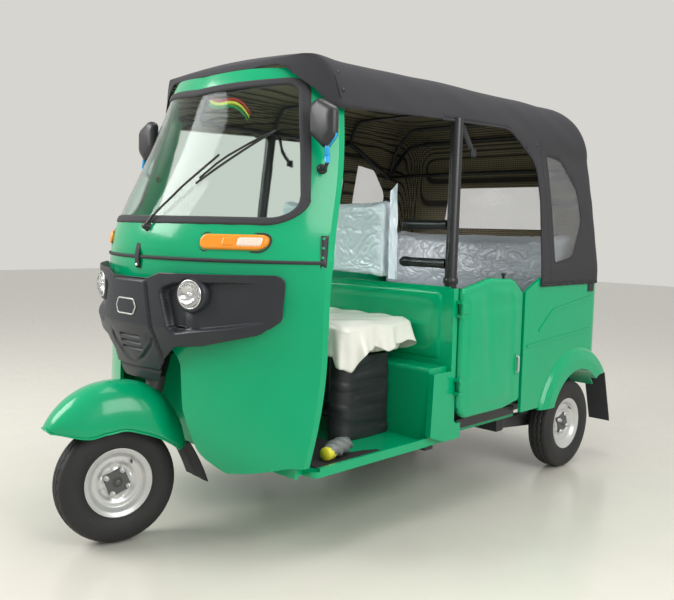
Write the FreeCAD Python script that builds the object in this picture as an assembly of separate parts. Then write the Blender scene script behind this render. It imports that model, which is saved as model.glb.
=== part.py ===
import FreeCAD, Part
import math
import os

os.makedirs("parts", exist_ok=True)
V = FreeCAD.Vector

# Auto rickshaw: three wheels, hollow cab, folding vinyl canopy.
# Working frame: x to the vehicle's left, y to its rear from the front axle, z up from the floor.
# Nodes are written with the origin on the floor under the middle of the overall length.

# Wheels and track
WHEELBASE = 2000.0
REAR_TRACK = 1160.0
TYRE_RADIUS = 208.0
TYRE_WIDTH = 105.0
BEAD_RADIUS = 105.0
RIM_FLANGE_RADIUS = 117.0
RIM_WIDTH = 84.0
RIM_SKIN = 5.0
AXLE_RADIUS = 12.0
HUB_RADIUS = 34.0
FIT_GAP = 0.3
MIN_CLEAR = 6.0

# Body sizes
CAB_HALF_WIDTH = 600.0
BODY_HALF_WIDTH = 640.0
SIDE_SEAM_X = BODY_HALF_WIDTH - 80.0
SIDE_REACH = BODY_HALF_WIDTH + 60.0
WALL = 14.0
SKIN = 4.0
FLOOR_TOP = 300.0
FLOOR_THICKNESS = 20.0
FLOOR_FRONT_Y = 372.0
BULKHEAD_Y = 322.0
PARTITION_Y = 1070.0
PARTITION_TOP = 884.0
PARTITION_THICKNESS = 16.0
SEAM_Z = 990.0
SIDE_TOP_Z = 927.0
TAIL_Y = 2250.0
TAIL_CORNER_RADIUS = 90.0
ROOF_TOP = 1704.0

# Steering
STEER_REST_DEG = -12.0
STEER_OFFSET_Y = 48.0
RAKE_DEG = 18.0
STEM_RADIUS = 19.0
HEAD_TUBE_RADIUS = 30.0
HEAD_TUBE_LOW = 560.0
HEAD_TUBE_HIGH = 900.0
STEM_TOP = 1024.0

# Middle of the overall length, from the front axle
ORIGIN_Y = 1078.0


def box(x0, x1, y0, y1, z0, z1):
    return Part.makeBox(x1 - x0, y1 - y0, z1 - z0, V(x0, y0, z0))


def mirrored(shape):
    return shape.mirror(V(0, 0, 0), V(1, 0, 0))


def both(shape):
    return Part.makeCompound([shape, mirrored(shape)])


def group(*shapes):
    return Part.makeCompound(list(shapes))


def rod(a, b, radius):
    a = V(*a)
    b = V(*b)
    return Part.makeCylinder(radius, (b - a).Length, a, b - a)


def sleeve(a, b, outer, inner):
    return rod(a, b, outer).cut(rod(a, b, inner))


def place(plane, u, v, at):
    """Point of a plane: 'yz' at x, 'xz' at y, 'xy' at z."""
    if plane == "yz":
        return V(at, u, v)
    if plane == "xz":
        return V(u, at, v)
    return V(u, v, at)


def outline(points, plane, at):
    """Closed wire through (u, v, corner radius) points."""
    edges = []
    count = len(points)
    starts = []
    ends = []
    mids = []
    for i, (u, v, r) in enumerate(points):
        p = place(plane, u, v, at)
        if r <= 0:
            starts.append(p)
            ends.append(p)
            mids.append(None)
            continue
        before = place(plane, points[i - 1][0], points[i - 1][1], at)
        after = place(plane, points[(i + 1) % count][0], points[(i + 1) % count][1], at)
        a = (before - p).normalize()
        b = (after - p).normalize()
        half = a.getAngle(b) / 2.0
        back = r / math.tan(half)
        bisector = (a + b).normalize()
        centre = p + bisector * (r / math.sin(half))
        starts.append(p + a * back)
        ends.append(p + b * back)
        mids.append(centre - bisector * r)
    for i in range(count):
        if mids[i] is not None:
            edges.append(Part.Arc(starts[i], mids[i], ends[i]).toShape())
        a = ends[i]
        b = starts[(i + 1) % count]
        if (b - a).Length > 1e-4:
            edges.append(Part.LineSegment(a, b).toShape())
    return Part.Wire(edges)


def prism(points, plane, low, high):
    """Solid of an outline swept straight from low to high across its plane."""
    face = Part.Face(outline(points, plane, low))
    way = {"yz": V(1, 0, 0), "xz": V(0, 1, 0), "xy": V(0, 0, 1)}[plane]
    return face.extrude(way * (high - low))


def bent_rod(points, radius, bend):
    """Round bar through points, each inner corner an arc of the bend radius."""
    vs = [V(*p) for p in points]
    edges = []
    last = vs[0]
    for i in range(1, len(vs) - 1):
        a = (vs[i - 1] - vs[i]).normalize()
        b = (vs[i + 1] - vs[i]).normalize()
        half = a.getAngle(b) / 2.0
        back = bend / math.tan(half)
        bisector = (a + b).normalize()
        middle = vs[i] + bisector * (bend / math.sin(half) - bend)
        edges.append(Part.LineSegment(last, vs[i] + a * back).toShape())
        edges.append(Part.Arc(vs[i] + a * back, middle, vs[i] + b * back).toShape())
        last = vs[i] + b * back
    edges.append(Part.LineSegment(last, vs[-1]).toShape())
    path = Part.Wire(edges)
    ring = Part.Wire(Part.Circle(vs[0], vs[1] - vs[0], radius).toShape())
    return path.makePipeShell([ring], True, True)


def arc_wire(z, nose_y, corner_y, half_width, back_y):
    """Plan of a curved front: one arc from corner to corner, closed straight behind."""
    left = V(half_width, corner_y, z)
    right = V(-half_width, corner_y, z)
    edges = [Part.Arc(left, V(0, nose_y, z), right).toShape(),
             Part.LineSegment(right, V(-half_width, back_y, z)).toShape(),
             Part.LineSegment(V(-half_width, back_y, z), V(half_width, back_y, z)).toShape(),
             Part.LineSegment(V(half_width, back_y, z), left).toShape()]
    return Part.Wire(edges)


# Curved front of the cab: height, nose y, corner y, half width at the corner
COWL_SECTIONS = [(262.0, 168.0, 322.0, 580.0),
                 (350.0, 126.0, 336.0, 594.0),
                 (600.0, 106.0, 384.0, 602.0),
                 (820.0, 96.0, 392.0, 604.0),
                 (SEAM_Z, 88.7, 413.0, CAB_HALF_WIDTH)]
SCREEN_SECTIONS = [(SEAM_Z, 88.7, 413.0, CAB_HALF_WIDTH),
                   (1104.0, 103.0, 462.0, 560.0),
                   (1334.0, 218.0, 528.0, 521.0),
                   (1503.0, 297.0, 556.0, 489.0),
                   (1640.0, 360.0, 586.0, 462.0)]
RETURN_DEPTH = 26.0


def curved_front(sections, inset, stretch):
    """Solid behind the curved front, drawn in by inset; stretch runs it out at its rear and ends."""
    wires = []
    for z, nose_y, corner_y, half_width in sections:
        back_y = corner_y + RETURN_DEPTH + stretch
        wires.append(arc_wire(z, nose_y + inset, corner_y + inset * 0.4, half_width - inset, back_y))
    return Part.makeLoft(wires, True, False)


def front_shell(sections, wall):
    return curved_front(sections, 0.0, 0.0).cut(curved_front(sections, wall, 300.0))


# Front cowl: curved lower shell, open under the nose for the wheel, cheeks either side.
CHEEK_EDGE = [(-128.0, 700.0, 30.0), (-190.0, 640.0, 60.0), (-200.0, 480.0, 120.0),
              (-250.0, 325.0, 80.0), (-330.0, 272.0, 60.0), (-420.0, 262.0, 0.0),
              (-420.0, 200.0, 0.0)]


def front_cowl():
    shell = front_shell(COWL_SECTIONS, WALL)
    right = [(x, z, r) for x, z, r in CHEEK_EDGE]
    left = [(-x, z, r) for x, z, r in reversed(CHEEK_EDGE)]
    shell = shell.cut(prism(right + left, "xz", 0.0, 600.0))
    sweep = [(0.0, 200.0, 0.0), (200.0, 262.0, 0.0), (300.0, 318.0, 60.0),
             (460.0, 322.0, 0.0), (460.0, 200.0, 0.0)]
    return shell.cut(prism(sweep, "yz", -700.0, 700.0))


# Windscreen opening in the front view: x, z, corner radius
SCREEN_LEFT = [(507.0, 1113.0, 62.0), (496.0, 1190.0, 0.0), (392.0, 1594.0, 56.0), (300.0, 1588.0, 0.0)]


def screen_outline(grow, low=0.0, high=620.0):
    left = [(x + grow, z + (grow if z > 1300 else -grow), r + grow) for x, z, r in SCREEN_LEFT]
    left = [(x, z, r if r > grow else 0.0) for x, z, r in left]
    right = [(-x, z, r) for x, z, r in reversed(left)]
    foot = [(0.0, 1112.0 - grow, 0.0)]
    crown = [(0.0, 1568.0 + grow, 0.0)]
    return prism(foot + left + crown + right, "xz", low, high)


HEADER_GAP = 3.0
SEAL_WIDTH = 13.0
SEAL_PROUD = 6.0
GLASS_THICKNESS = 6.0


def windscreen_surround():
    shell = front_shell(SCREEN_SECTIONS, WALL)
    shell = shell.cut(screen_outline(0.0))
    top = [(700.0, 1800.0, 0.0), (700.0, 1470.0, 0.0)] + header_line(HEADER_GAP)
    top += [(-700.0, 1470.0, 0.0), (-700.0, 1800.0, 0.0)]
    return shell.cut(prism(top, "xz", 0.0, 700.0))


def windscreen_seal():
    band = curved_front(SCREEN_SECTIONS, -SEAL_PROUD, 0.0)
    band = band.cut(curved_front(SCREEN_SECTIONS, -FIT_GAP, 300.0))
    lip = screen_outline(SEAL_WIDTH).cut(screen_outline(-SEAL_WIDTH))
    inner = curved_front(SCREEN_SECTIONS, -FIT_GAP - 0.5, 0.0)
    inner = inner.cut(curved_front(SCREEN_SECTIONS, WALL, 300.0))
    throat = screen_outline(-FIT_GAP).cut(screen_outline(-SEAL_WIDTH))
    return band.common(lip).fuse(inner.common(throat))


def windscreen_glass():
    pane = curved_front(SCREEN_SECTIONS, 2.0, 0.0)
    pane = pane.cut(curved_front(SCREEN_SECTIONS, 2.0 + GLASS_THICKNESS, 300.0))
    return pane.common(screen_outline(-SEAL_WIDTH - FIT_GAP))


# Nose: moulded panel across the cowl, with two lamp pods and a centre panel down over the wheel
LAMP_X = 278.0
LAMP_Y = 100.0
LAMP_Z = 872.0
LAMP_TOE_DEG = 16.0
LAMP_RADIUS = 46.0
LAMP_DEPTH = 32.0
LAMP_DOME = 14.0
LAMP_HOUSING_RADIUS = 61.0
FASCIA_SKIN = 12.0
TIP_HALF = 96.0
# Height, nose y and corner y of the moulding's outer face
NOSE_SECTIONS = [(540.0, 96.0, 470.0), (640.0, 72.0, 440.0), (760.0, 40.0, 410.0), (940.0, 46.0, 420.0)]
NOSE_HALF = 640.0
NOSE_BACK = 600.0
FASCIA_SIDE = [(-106.0, 918.0, 20.0), (-160.0, 938.0, 30.0), (-515.0, 936.0, 14.0),
               (-500.0, 806.0, 30.0), (-318.0, 712.0, 60.0), (-215.0, 700.0, 40.0),
               (-150.0, 640.0, 40.0), (-108.0, 560.0, 24.0)]
# Lamp pods: recessed beside the centre panel, running out flush at their outer ends
POD_DEPTH = 38.0
POD_END = 512.0
POD_RECESS = [(-150.0, 886.0, 26.0), (-222.0, 910.0, 20.0), (-530.0, 922.0, 0.0), (-530.0, 800.0, 0.0),
              (-394.0, 758.0, 60.0), (-206.0, 732.0, 30.0)]
CENTRE_PROUD = 6.0
CENTRE_PANEL = [(-98.0, 911.0, 16.0), (-128.0, 768.0, 0.0), (-149.0, 668.0, 0.0), (-140.0, 622.0, 12.0)]
BADGE_PROUD = 9.0
BADGE = [(-62.0, 816.0, 0.0), (-48.0, 844.0, 14.0), (48.0, 844.0, 14.0), (62.0, 816.0, 0.0),
         (48.0, 788.0, 14.0), (-48.0, 788.0, 14.0)]
SLOT_HEIGHTS = [671.0, 693.0, 715.0]
SLOT_HALF = 62.0
SLOT_WIDTH = 8.0
SLOT_DEPTH = 14.0


def pair(points):
    """Outline symmetrical about the middle, from its right half."""
    return points + [(-x, z, r) for x, z, r in reversed(points)]


def nose_prism(points):
    return prism(points, "xz", -60.0, NOSE_BACK)


def nose_solid(grow):
    """Solid behind the moulding's outer face, or behind that face moved forward."""
    wires = [arc_wire(z, nose_y - grow, corner_y, NOSE_HALF, NOSE_BACK)
             for z, nose_y, corner_y in NOSE_SECTIONS]
    return Part.makeLoft(wires, True, False)


def arc_back(x, nose_y, corner_y, half):
    """Distance back, at x, of the arc from corner to corner through the nose."""
    rise = corner_y - nose_y
    radius = (half * half + rise * rise) / (2.0 * rise)
    return nose_y + radius - math.sqrt(radius * radius - x * x)


def pod_floor():
    """Solid behind the pods' floor: deepest at the middle, flush with the outer face at the pods' ends."""
    wires = []
    for z, nose_y, corner_y in NOSE_SECTIONS:
        end_y = arc_back(POD_END, nose_y, corner_y, NOSE_HALF)
        wires.append(arc_wire(z, nose_y + POD_DEPTH, end_y, POD_END, NOSE_BACK))
    return Part.makeLoft(wires, True, False)


def lamp_form(section):
    """Solid of revolution about the lamp's own axis, turned outward to follow the nose."""
    pts = [V(r, d, 0) for r, d in section]
    solid = Part.Face(Part.makePolygon(pts + [pts[0]])).revolve(V(0, 0, 0), V(0, 1, 0), 360)
    solid.rotate(V(0, 0, 0), V(0, 0, 1), LAMP_TOE_DEG)
    solid.translate(V(LAMP_X, LAMP_Y, LAMP_Z))
    return solid


def nose_fascia():
    body = nose_solid(0.0).common(nose_prism(pair(FASCIA_SIDE)))
    body = body.cut(both(nose_prism(POD_RECESS).cut(pod_floor())))
    housing = lamp_form([(0.0, LAMP_DEPTH), (0.0, 2.0), (LAMP_HOUSING_RADIUS - 5.0, 2.0),
                         (LAMP_HOUSING_RADIUS, 8.0), (LAMP_HOUSING_RADIUS, LAMP_DEPTH)])
    centre = nose_solid(CENTRE_PROUD).common(nose_prism(pair(CENTRE_PANEL)))
    badge = nose_solid(BADGE_PROUD).common(nose_prism(BADGE))
    body = body.fuse([housing, mirrored(housing), centre, badge])
    body = body.cut(curved_front(COWL_SECTIONS, -FIT_GAP, 400.0))
    under = nose_solid(-FASCIA_SKIN).common(box(-TIP_HALF, TIP_HALF, -60.0, NOSE_BACK, 500.0, 720.0))
    body = body.cut(under)
    r = LAMP_RADIUS + FIT_GAP
    bore = lamp_form([(0.0, LAMP_DEPTH + FIT_GAP), (0.0, -60.0), (r, -60.0), (r, LAMP_DEPTH + FIT_GAP)])
    body = body.cut(both(bore))
    for z in SLOT_HEIGHTS:
        slot = box(-SLOT_HALF, SLOT_HALF, -60.0, NOSE_BACK, z - SLOT_WIDTH / 2.0, z + SLOT_WIDTH / 2.0)
        body = body.cut(slot.cut(nose_solid(CENTRE_PROUD - SLOT_DEPTH)))
    return body


def headlamps():
    r = LAMP_RADIUS
    return both(lamp_form([(0.0, LAMP_DEPTH), (0.0, -LAMP_DOME), (r * 0.55, -LAMP_DOME * 0.72),
                           (r * 0.88, -LAMP_DOME * 0.2), (r, 4.0), (r, LAMP_DEPTH)]))


def turn_indicators():
    proud = curved_front(SCREEN_SECTIONS, -16.0, 0.0).cut(curved_front(SCREEN_SECTIONS, -FIT_GAP, 300.0))
    window = [(282.0, 1016.0, 10.0), (462.0, 1014.0, 10.0), (452.0, 1072.0, 10.0), (272.0, 1072.0, 10.0)]
    return both(proud.common(prism(window, "xz", 0.0, 600.0)))


def cowl_trim():
    """Rubber bead along the seam, with the latch strap at its middle."""
    bead = curved_front(COWL_SECTIONS, -7.0, 0.0).cut(curved_front(COWL_SECTIONS, -FIT_GAP, 400.0))
    bead = bead.common(box(-590.0, 590.0, 0.0, 460.0, SEAM_Z - 12.0, SEAM_Z))
    strap = box(-12.0, 12.0, 64.0, 81.0, 948.0, 1034.0)
    return bead.fuse(strap)


def wiper():
    boss = Part.makeCylinder(13.0, 22.0, V(36.0, 104.0, 1086.0), V(0, -1, 0.2))
    arm = bent_rod([(36.0, 84.0, 1088.0), (118.0, 112.0, 1180.0), (270.0, 276.0, 1336.0)], 6.0, 60.0)
    blade = bent_rod([(184.0, 172.0, 1236.0), (270.0, 268.0, 1336.0), (352.0, 356.0, 1412.0)], 7.0, 300.0)
    whole = boss.fuse([arm, blade]).cut(curved_front(SCREEN_SECTIONS, -FIT_GAP, 300.0))
    return whole.cut(windscreen_seal())


# Inner cab: floor, bulkhead, dashboard and partition
FLOOR_HALF = CAB_HALF_WIDTH
INNER_HALF = FLOOR_HALF - 2.0
MAT_THICKNESS = 4.0


def floor_pan():
    low = FLOOR_TOP - FLOOR_THICKNESS
    deck = prism([(-FLOOR_HALF, FLOOR_FRONT_Y, 24.0), (FLOOR_HALF, FLOOR_FRONT_Y, 24.0),
                  (FLOOR_HALF, CORNER_BOX_FRONT + FIT_GAP, 0.0),
                  (-FLOOR_HALF, CORNER_BOX_FRONT + FIT_GAP, 0.0)],
                 "xy", low, FLOOR_TOP)
    nose = box(-540.0, 540.0, BULKHEAD_Y + WALL, FLOOR_FRONT_Y + 30.0, low, FLOOR_TOP)
    middle = box(-597.0, 597.0, CORNER_BOX_FRONT, PILLAR_FOOT[1] + PILLAR_RADIUS, low, FLOOR_TOP)
    rear = box(-540.0, 540.0, CORNER_BOX_FRONT, PASSENGER_SEAT_FRONT + 20.0, low, FLOOR_TOP)
    lip = box(FLOOR_HALF - 12.0, FLOOR_HALF, FLOOR_FRONT_Y + 24.0, CORNER_BOX_FRONT, FLOOR_TOP,
              FLOOR_TOP + 12.0)
    return deck.fuse([nose, middle, rear, lip, mirrored(lip)])


def floor_mats():
    """Ribbed rubber mats on the driver's and the passengers' floor."""
    low = FLOOR_TOP + FIT_GAP
    side = FLOOR_HALF - 12.0 - FIT_GAP - 4.0
    seat = SEAT_BASE_HALF + MIN_CLEAR
    driver = prism([(-side, 404.0, 20.0), (side, 404.0, 20.0), (side, CORNER_BOX_FRONT - MIN_CLEAR, 0.0),
                    (seat, CORNER_BOX_FRONT - MIN_CLEAR, 0.0), (seat, 684.0, 0.0), (-seat, 684.0, 0.0),
                    (-seat, CORNER_BOX_FRONT - MIN_CLEAR, 0.0), (-side, CORNER_BOX_FRONT - MIN_CLEAR, 0.0)],
                   "xy", low, low + MAT_THICKNESS)
    rear = box(-500.0, 500.0, CHEEK_TOE, PASSENGER_SEAT_FRONT - 20.0, low, low + MAT_THICKNESS)
    return group(driver, rear)


def front_bulkhead():
    """Inner front wall of the cab, behind the wheel."""
    y = BULKHEAD_Y
    wall = box(-560.0, 560.0, y, y + WALL, FLOOR_TOP - FLOOR_THICKNESS, 930.0)
    wall = wall.common(curved_front(COWL_SECTIONS, WALL + FIT_GAP, 300.0))
    return wall


def dashboard():
    y = BULKHEAD_Y
    top = box(-590.0, 590.0, 90.0, y + 40.0, 930.0 + FIT_GAP, 975.0)
    top = top.common(curved_front(COWL_SECTIONS, WALL + FIT_GAP, 300.0))
    pod = prism([(180.0, 975.0, 0.0), (252.0, 975.0, 0.0), (262.0, 1030.0, 10.0),
                 (216.0, 1070.0, 14.0), (196.0, 1060.0, 14.0)], "yz", -90.0, 90.0)
    top = top.fuse(pod)
    bore_y = STEER_OFFSET_Y + (952.0 - TYRE_RADIUS) * math.tan(math.radians(RAKE_DEG))
    return top.cut(rod((0.0, bore_y - 66.0, 750.0), (0.0, bore_y + 66.0, 1154.0), HEAD_TUBE_RADIUS + 12.0))


CORNER_BOX_FRONT = 964.0
CHEEK_REAR = 1098.0
CHEEK_TOE = 1140.0
CHEEK_LOW = 290.0
CHEEK_OUT = BODY_HALF_WIDTH - 18.0
CORNER_BOX_WALL = 14.0
CORNER_BOX_TOP = 578.0


def partition_panel():
    y = PARTITION_Y
    wall = box(-INNER_HALF, INNER_HALF, y, y + PARTITION_THICKNESS, FLOOR_TOP, PARTITION_TOP)
    side = prism([(CORNER_BOX_FRONT, 300.0, 0.0), (CORNER_BOX_FRONT, CORNER_BOX_TOP, 16.0),
                  (y, CORNER_BOX_TOP, 0.0), (y, FLOOR_TOP, 0.0)], "yz", -INNER_HALF, INNER_HALF)
    half = FLOOR_HALF - 18.0
    hollow = box(-half, half, CORNER_BOX_FRONT + CORNER_BOX_WALL, y + 1.0, FLOOR_TOP - 1.0,
                 CORNER_BOX_TOP - CORNER_BOX_WALL)
    side = side.cut(hollow)
    cheek = prism([(CORNER_BOX_FRONT, 560.0, 0.0), (CORNER_BOX_FRONT - 12.0, 320.0, 10.0),
                   (1040.0, CHEEK_LOW, 10.0),
                   (CHEEK_TOE, CHEEK_LOW, 0.0), (CHEEK_TOE, 350.0, 0.0), (CHEEK_REAR, 352.0, 20.0),
                   (CHEEK_REAR, 878.0, 0.0), (y, 878.0, 0.0), (y, 560.0, 0.0)],
                  "yz", INNER_HALF, CHEEK_OUT)
    lap = FLOOR_TOP + 13.0
    cheek = cheek.cut(box(INNER_HALF - 1.0, FLOOR_HALF + 0.6, 900.0, CORNER_BOX_FRONT + 1.0, 200.0, lap))
    cheek = cheek.fuse(hinge_lugs())
    panel = wall.fuse([side, cheek, mirrored(cheek)])
    return panel.cut(both(pillar_form(FIT_GAP)))


# Seats
SEAT_BASE_HALF = 400.0
SEAT_BASE_TOP = 620.0
SEAT_BASE_WALL = 14.0
DRIVER_CUSHION_HALF = 440.0
DRIVER_CUSHION_TOP = 752.0
BACKREST_HALF = 335.0


def driver_seat_base():
    h = SEAT_BASE_HALF
    w = SEAT_BASE_WALL
    base = prism([(h, 690.0, 60.0), (h, CORNER_BOX_FRONT - FIT_GAP, 0.0),
                  (-h, CORNER_BOX_FRONT - FIT_GAP, 0.0), (-h, 690.0, 60.0)],
                 "xy", FLOOR_TOP + FIT_GAP, SEAT_BASE_TOP)
    core = prism([(h - w, 690.0 + w, 46.0), (h - w, CORNER_BOX_FRONT - w, 0.0),
                  (-h + w, CORNER_BOX_FRONT - w, 0.0), (-h + w, 690.0 + w, 46.0)],
                 "xy", FLOOR_TOP - 1.0, SEAT_BASE_TOP - w)
    return base.cut(core)


def driver_cushion():
    h = DRIVER_CUSHION_HALF
    return prism([(h, 650.0, 60.0), (h, 1044.0, 50.0), (-h, 1044.0, 50.0), (-h, 650.0, 60.0)],
                 "xy", SEAT_BASE_TOP + FIT_GAP, DRIVER_CUSHION_TOP)


def driver_backrest():
    return prism([(1004.0, PARTITION_TOP + FIT_GAP, 0.0), (1080.0, PARTITION_TOP + FIT_GAP, 0.0),
                  (1080.0, 1232.0, 26.0), (1016.0, 1232.0, 26.0)], "yz", -BACKREST_HALF, BACKREST_HALF)


PASSENGER_SEAT_FRONT = 1640.0
SEAT_PLATE_Z = 620.0
SEAT_TOP_Z = 760.0


def passenger_seat_base():
    base = prism([(PASSENGER_SEAT_FRONT, FLOOR_TOP, 0.0), (PASSENGER_SEAT_FRONT, SEAT_PLATE_Z + 20.0, 20.0),
                  (2130.0, SEAT_PLATE_Z + 20.0, 0.0), (2130.0, SEAT_PLATE_Z, 0.0),
                  (PASSENGER_SEAT_FRONT + 20.0, SEAT_PLATE_Z, 0.0),
                  (PASSENGER_SEAT_FRONT + 20.0, FLOOR_TOP, 0.0)], "yz", -500.0, 500.0)
    return base


def passenger_cushion():
    return prism([(PASSENGER_SEAT_FRONT - 20.0, SEAT_PLATE_Z + 20.0 + FIT_GAP, 20.0),
                  (2080.0, SEAT_PLATE_Z + 20.0 + FIT_GAP, 0.0), (2080.0, SEAT_TOP_Z, 20.0),
                  (PASSENGER_SEAT_FRONT - 20.0, SEAT_TOP_Z, 50.0)],
                 "yz", -BODY_HALF_WIDTH + 60.0, BODY_HALF_WIDTH - 60.0)


def passenger_backrest():
    return prism([(1980.0, SEAT_TOP_Z + FIT_GAP, 20.0), (2100.0, SEAT_TOP_Z + FIT_GAP, 0.0),
                  (2170.0, 1108.0, 30.0),
                  (2080.0, 1108.0, 40.0)], "yz", -SIDE_SEAM_X, SIDE_SEAM_X)


# Rear body: side panels with wheel arches, rear panel with the engine lid
ARCH_Y = 2035.0
ARCH_Z = 222.0
ARCH_INNER = 246.0
ARCH_OUTER = 345.0
FLARE_X = BODY_HALF_WIDTH + 20.0
FLARE_BACK = BODY_HALF_WIDTH - 20.0
HOUSE_ROOM = 74.0
HOUSE_IN = REAR_TRACK / 2.0 - HOUSE_ROOM
SIDE_LOW = 330.0
ARCH_KEEP_LOW = 318.0
FLARE_REAR_LOW = 420.0
DOOR_FRONT_Y = 1106.0
DOOR_REAR_Y = 1548.0
DOOR_GAP = 7.0
SIDE_PROFILE = [(DOOR_REAR_Y + DOOR_GAP, SIDE_LOW, 0.0), (DOOR_REAR_Y + DOOR_GAP, 846.0, 0.0),
                (1576.0, 858.0, 30.0), (1680.0, 906.0, 60.0), (TAIL_Y + 10.0, SIDE_TOP_Z, 0.0),
                (TAIL_Y + 10.0, 430.0, 0.0), (2200.0, SIDE_LOW, 0.0), (1700.0, SIDE_LOW, 0.0)]


def tub_wall(outer_x, tail_y, corner, wall, z0, z1):
    """Open U of bodywork in plan: both sides and the tail."""
    def u(x, y, r, dz0, dz1):
        return prism([(x - 18.0, 1300.0, 0.0), (x, 1560.0, 0.0), (x, y, r), (-x, y, r), (-x, 1560.0, 0.0),
                      (-x + 18.0, 1300.0, 0.0)], "xy", dz0, dz1)
    return u(outer_x, tail_y, corner, z0, z1).cut(u(outer_x - wall, tail_y - wall, corner - wall, z0 - 1,
                                                    z1 + 1))


TUB = tub_wall(BODY_HALF_WIDTH, TAIL_Y, TAIL_CORNER_RADIUS, WALL, 280.0, SIDE_TOP_Z)


# Pressed lines of the side panel: distance back, height
SWAGE_HALF = 6.0
SWAGE_PROUD = 4.0
SWAGE_BEND = 80.0
SWAGES = [[(1678.0, 672.0), (1791.0, 758.0), (2145.0, 804.0)],
          [(1580.0, 613.0), (1900.0, 634.0), (2145.0, 650.0)]]


def strip(points, half, bend):
    """Outline of a band of even width along (u, v) points, with round ends and bends."""
    ways = [V(b[0] - a[0], b[1] - a[1], 0).normalize() for a, b in zip(points, points[1:])]
    ways = [ways[0]] + [(a + b).normalize() for a, b in zip(ways, ways[1:])] + [ways[-1]]
    sides = []
    for turn in (1.0, -1.0):
        row = []
        for i, ((u, v), way) in enumerate(zip(points, ways)):
            radius = bend if 0 < i < len(points) - 1 else half * 0.98
            row.append((u - way.y * half * turn, v + way.x * half * turn, radius))
        sides.append(row)
    return sides[0] + sides[1][::-1]


def side_panel():
    panel = TUB.common(prism(SIDE_PROFILE, "yz", SIDE_SEAM_X, SIDE_REACH))
    panel = panel.cut(rod((BODY_HALF_WIDTH - 140.0, ARCH_Y, ARCH_Z), (SIDE_REACH, ARCH_Y, ARCH_Z),
                          ARCH_INNER))
    ring = [(ARCH_INNER, FLARE_BACK), (ARCH_INNER, FLARE_X), (ARCH_INNER + 46.0, FLARE_X),
            (ARCH_OUTER - 12.0, BODY_HALF_WIDTH + 12.0), (ARCH_OUTER, BODY_HALF_WIDTH),
            (ARCH_OUTER, BODY_HALF_WIDTH - WALL), (ARCH_OUTER - 30.0, BODY_HALF_WIDTH - WALL),
            (ARCH_INNER + 34.0, FLARE_X - 12.0), (ARCH_INNER + 12.0, FLARE_X - 12.0),
            (ARCH_INNER + 12.0, FLARE_BACK)]
    pts = [V(x, ARCH_Y, ARCH_Z + r) for r, x in ring]
    flare = Part.Face(Part.makePolygon(pts + [pts[0]])).revolve(V(0, ARCH_Y, ARCH_Z), V(1, 0, 0), 360)
    keep = prism([(1600.0, ARCH_KEEP_LOW, 0.0), (1600.0, 700.0, 0.0), (2400.0, 700.0, 0.0),
                  (2400.0, FLARE_REAR_LOW, 0.0), (2240.0, FLARE_REAR_LOW, 0.0),
                  (2000.0, ARCH_KEEP_LOW, 0.0)],
                 "yz", BODY_HALF_WIDTH - 40.0, SIDE_REACH)
    house = [(ARCH_INNER, HOUSE_IN), (ARCH_INNER, BODY_HALF_WIDTH - WALL),
             (ARCH_INNER + 6.0, BODY_HALF_WIDTH - WALL),
             (ARCH_INNER + 6.0, HOUSE_IN)]
    pts = [V(x, ARCH_Y, ARCH_Z + r) for r, x in house]
    arch = Part.Face(Part.makePolygon(pts + [pts[0]])).revolve(V(0, ARCH_Y, ARCH_Z), V(1, 0, 0), 360)
    arch = arch.common(box(HOUSE_IN - 106.0, SIDE_REACH, 1700.0, TAIL_Y - WALL - FIT_GAP, SIDE_LOW, 600.0))
    swages = [prism(strip(line, SWAGE_HALF, SWAGE_BEND), "yz", BODY_HALF_WIDTH - 2.0,
                    BODY_HALF_WIDTH + SWAGE_PROUD)
              for line in SWAGES]
    return panel.fuse([flare.common(keep), arch] + swages)


REAR_LID_HALF = 340.0
REAR_LID_LOW = 470.0
REAR_LID_HIGH = 850.0
LID_HINGE_X = [-220.0, 220.0]
LID_HINGE_Z = REAR_LID_HIGH - MIN_CLEAR
LID_HINGE_Y = TAIL_Y + 8.0
HINGE_PIN = 4.0
HINGE_BARREL = 7.0
RUN_GAP = 0.08
LUG_REACH = 42.0
LUG_WIDTH = 11.5
LOUVRES = 6
LOUVRE_PITCH = 26.0
LOUVRE_HALF = 180.0


def rear_panel():
    panel = TUB.common(box(-SIDE_SEAM_X + FIT_GAP, SIDE_SEAM_X - FIT_GAP, 2000.0, 2300.0, 400.0, SIDE_TOP_Z))
    panel = panel.cut(box(-REAR_LID_HALF, REAR_LID_HALF, 2000.0, 2300.0, REAR_LID_LOW, REAR_LID_HIGH))
    lugs = []
    for x in LID_HINGE_X:
        pin = rod((x - LUG_REACH, LID_HINGE_Y, LID_HINGE_Z), (x + LUG_REACH, LID_HINGE_Y, LID_HINGE_Z),
                  HINGE_PIN)
        lugs.append(pin)
        for a in (x - LUG_REACH, x + LUG_REACH - LUG_WIDTH):
            lugs.append(box(a, a + LUG_WIDTH, TAIL_Y, LID_HINGE_Y + HINGE_BARREL, LID_HINGE_Z - HINGE_BARREL,
                            REAR_LID_HIGH + 14.0))
    return panel.fuse(lugs)


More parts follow.
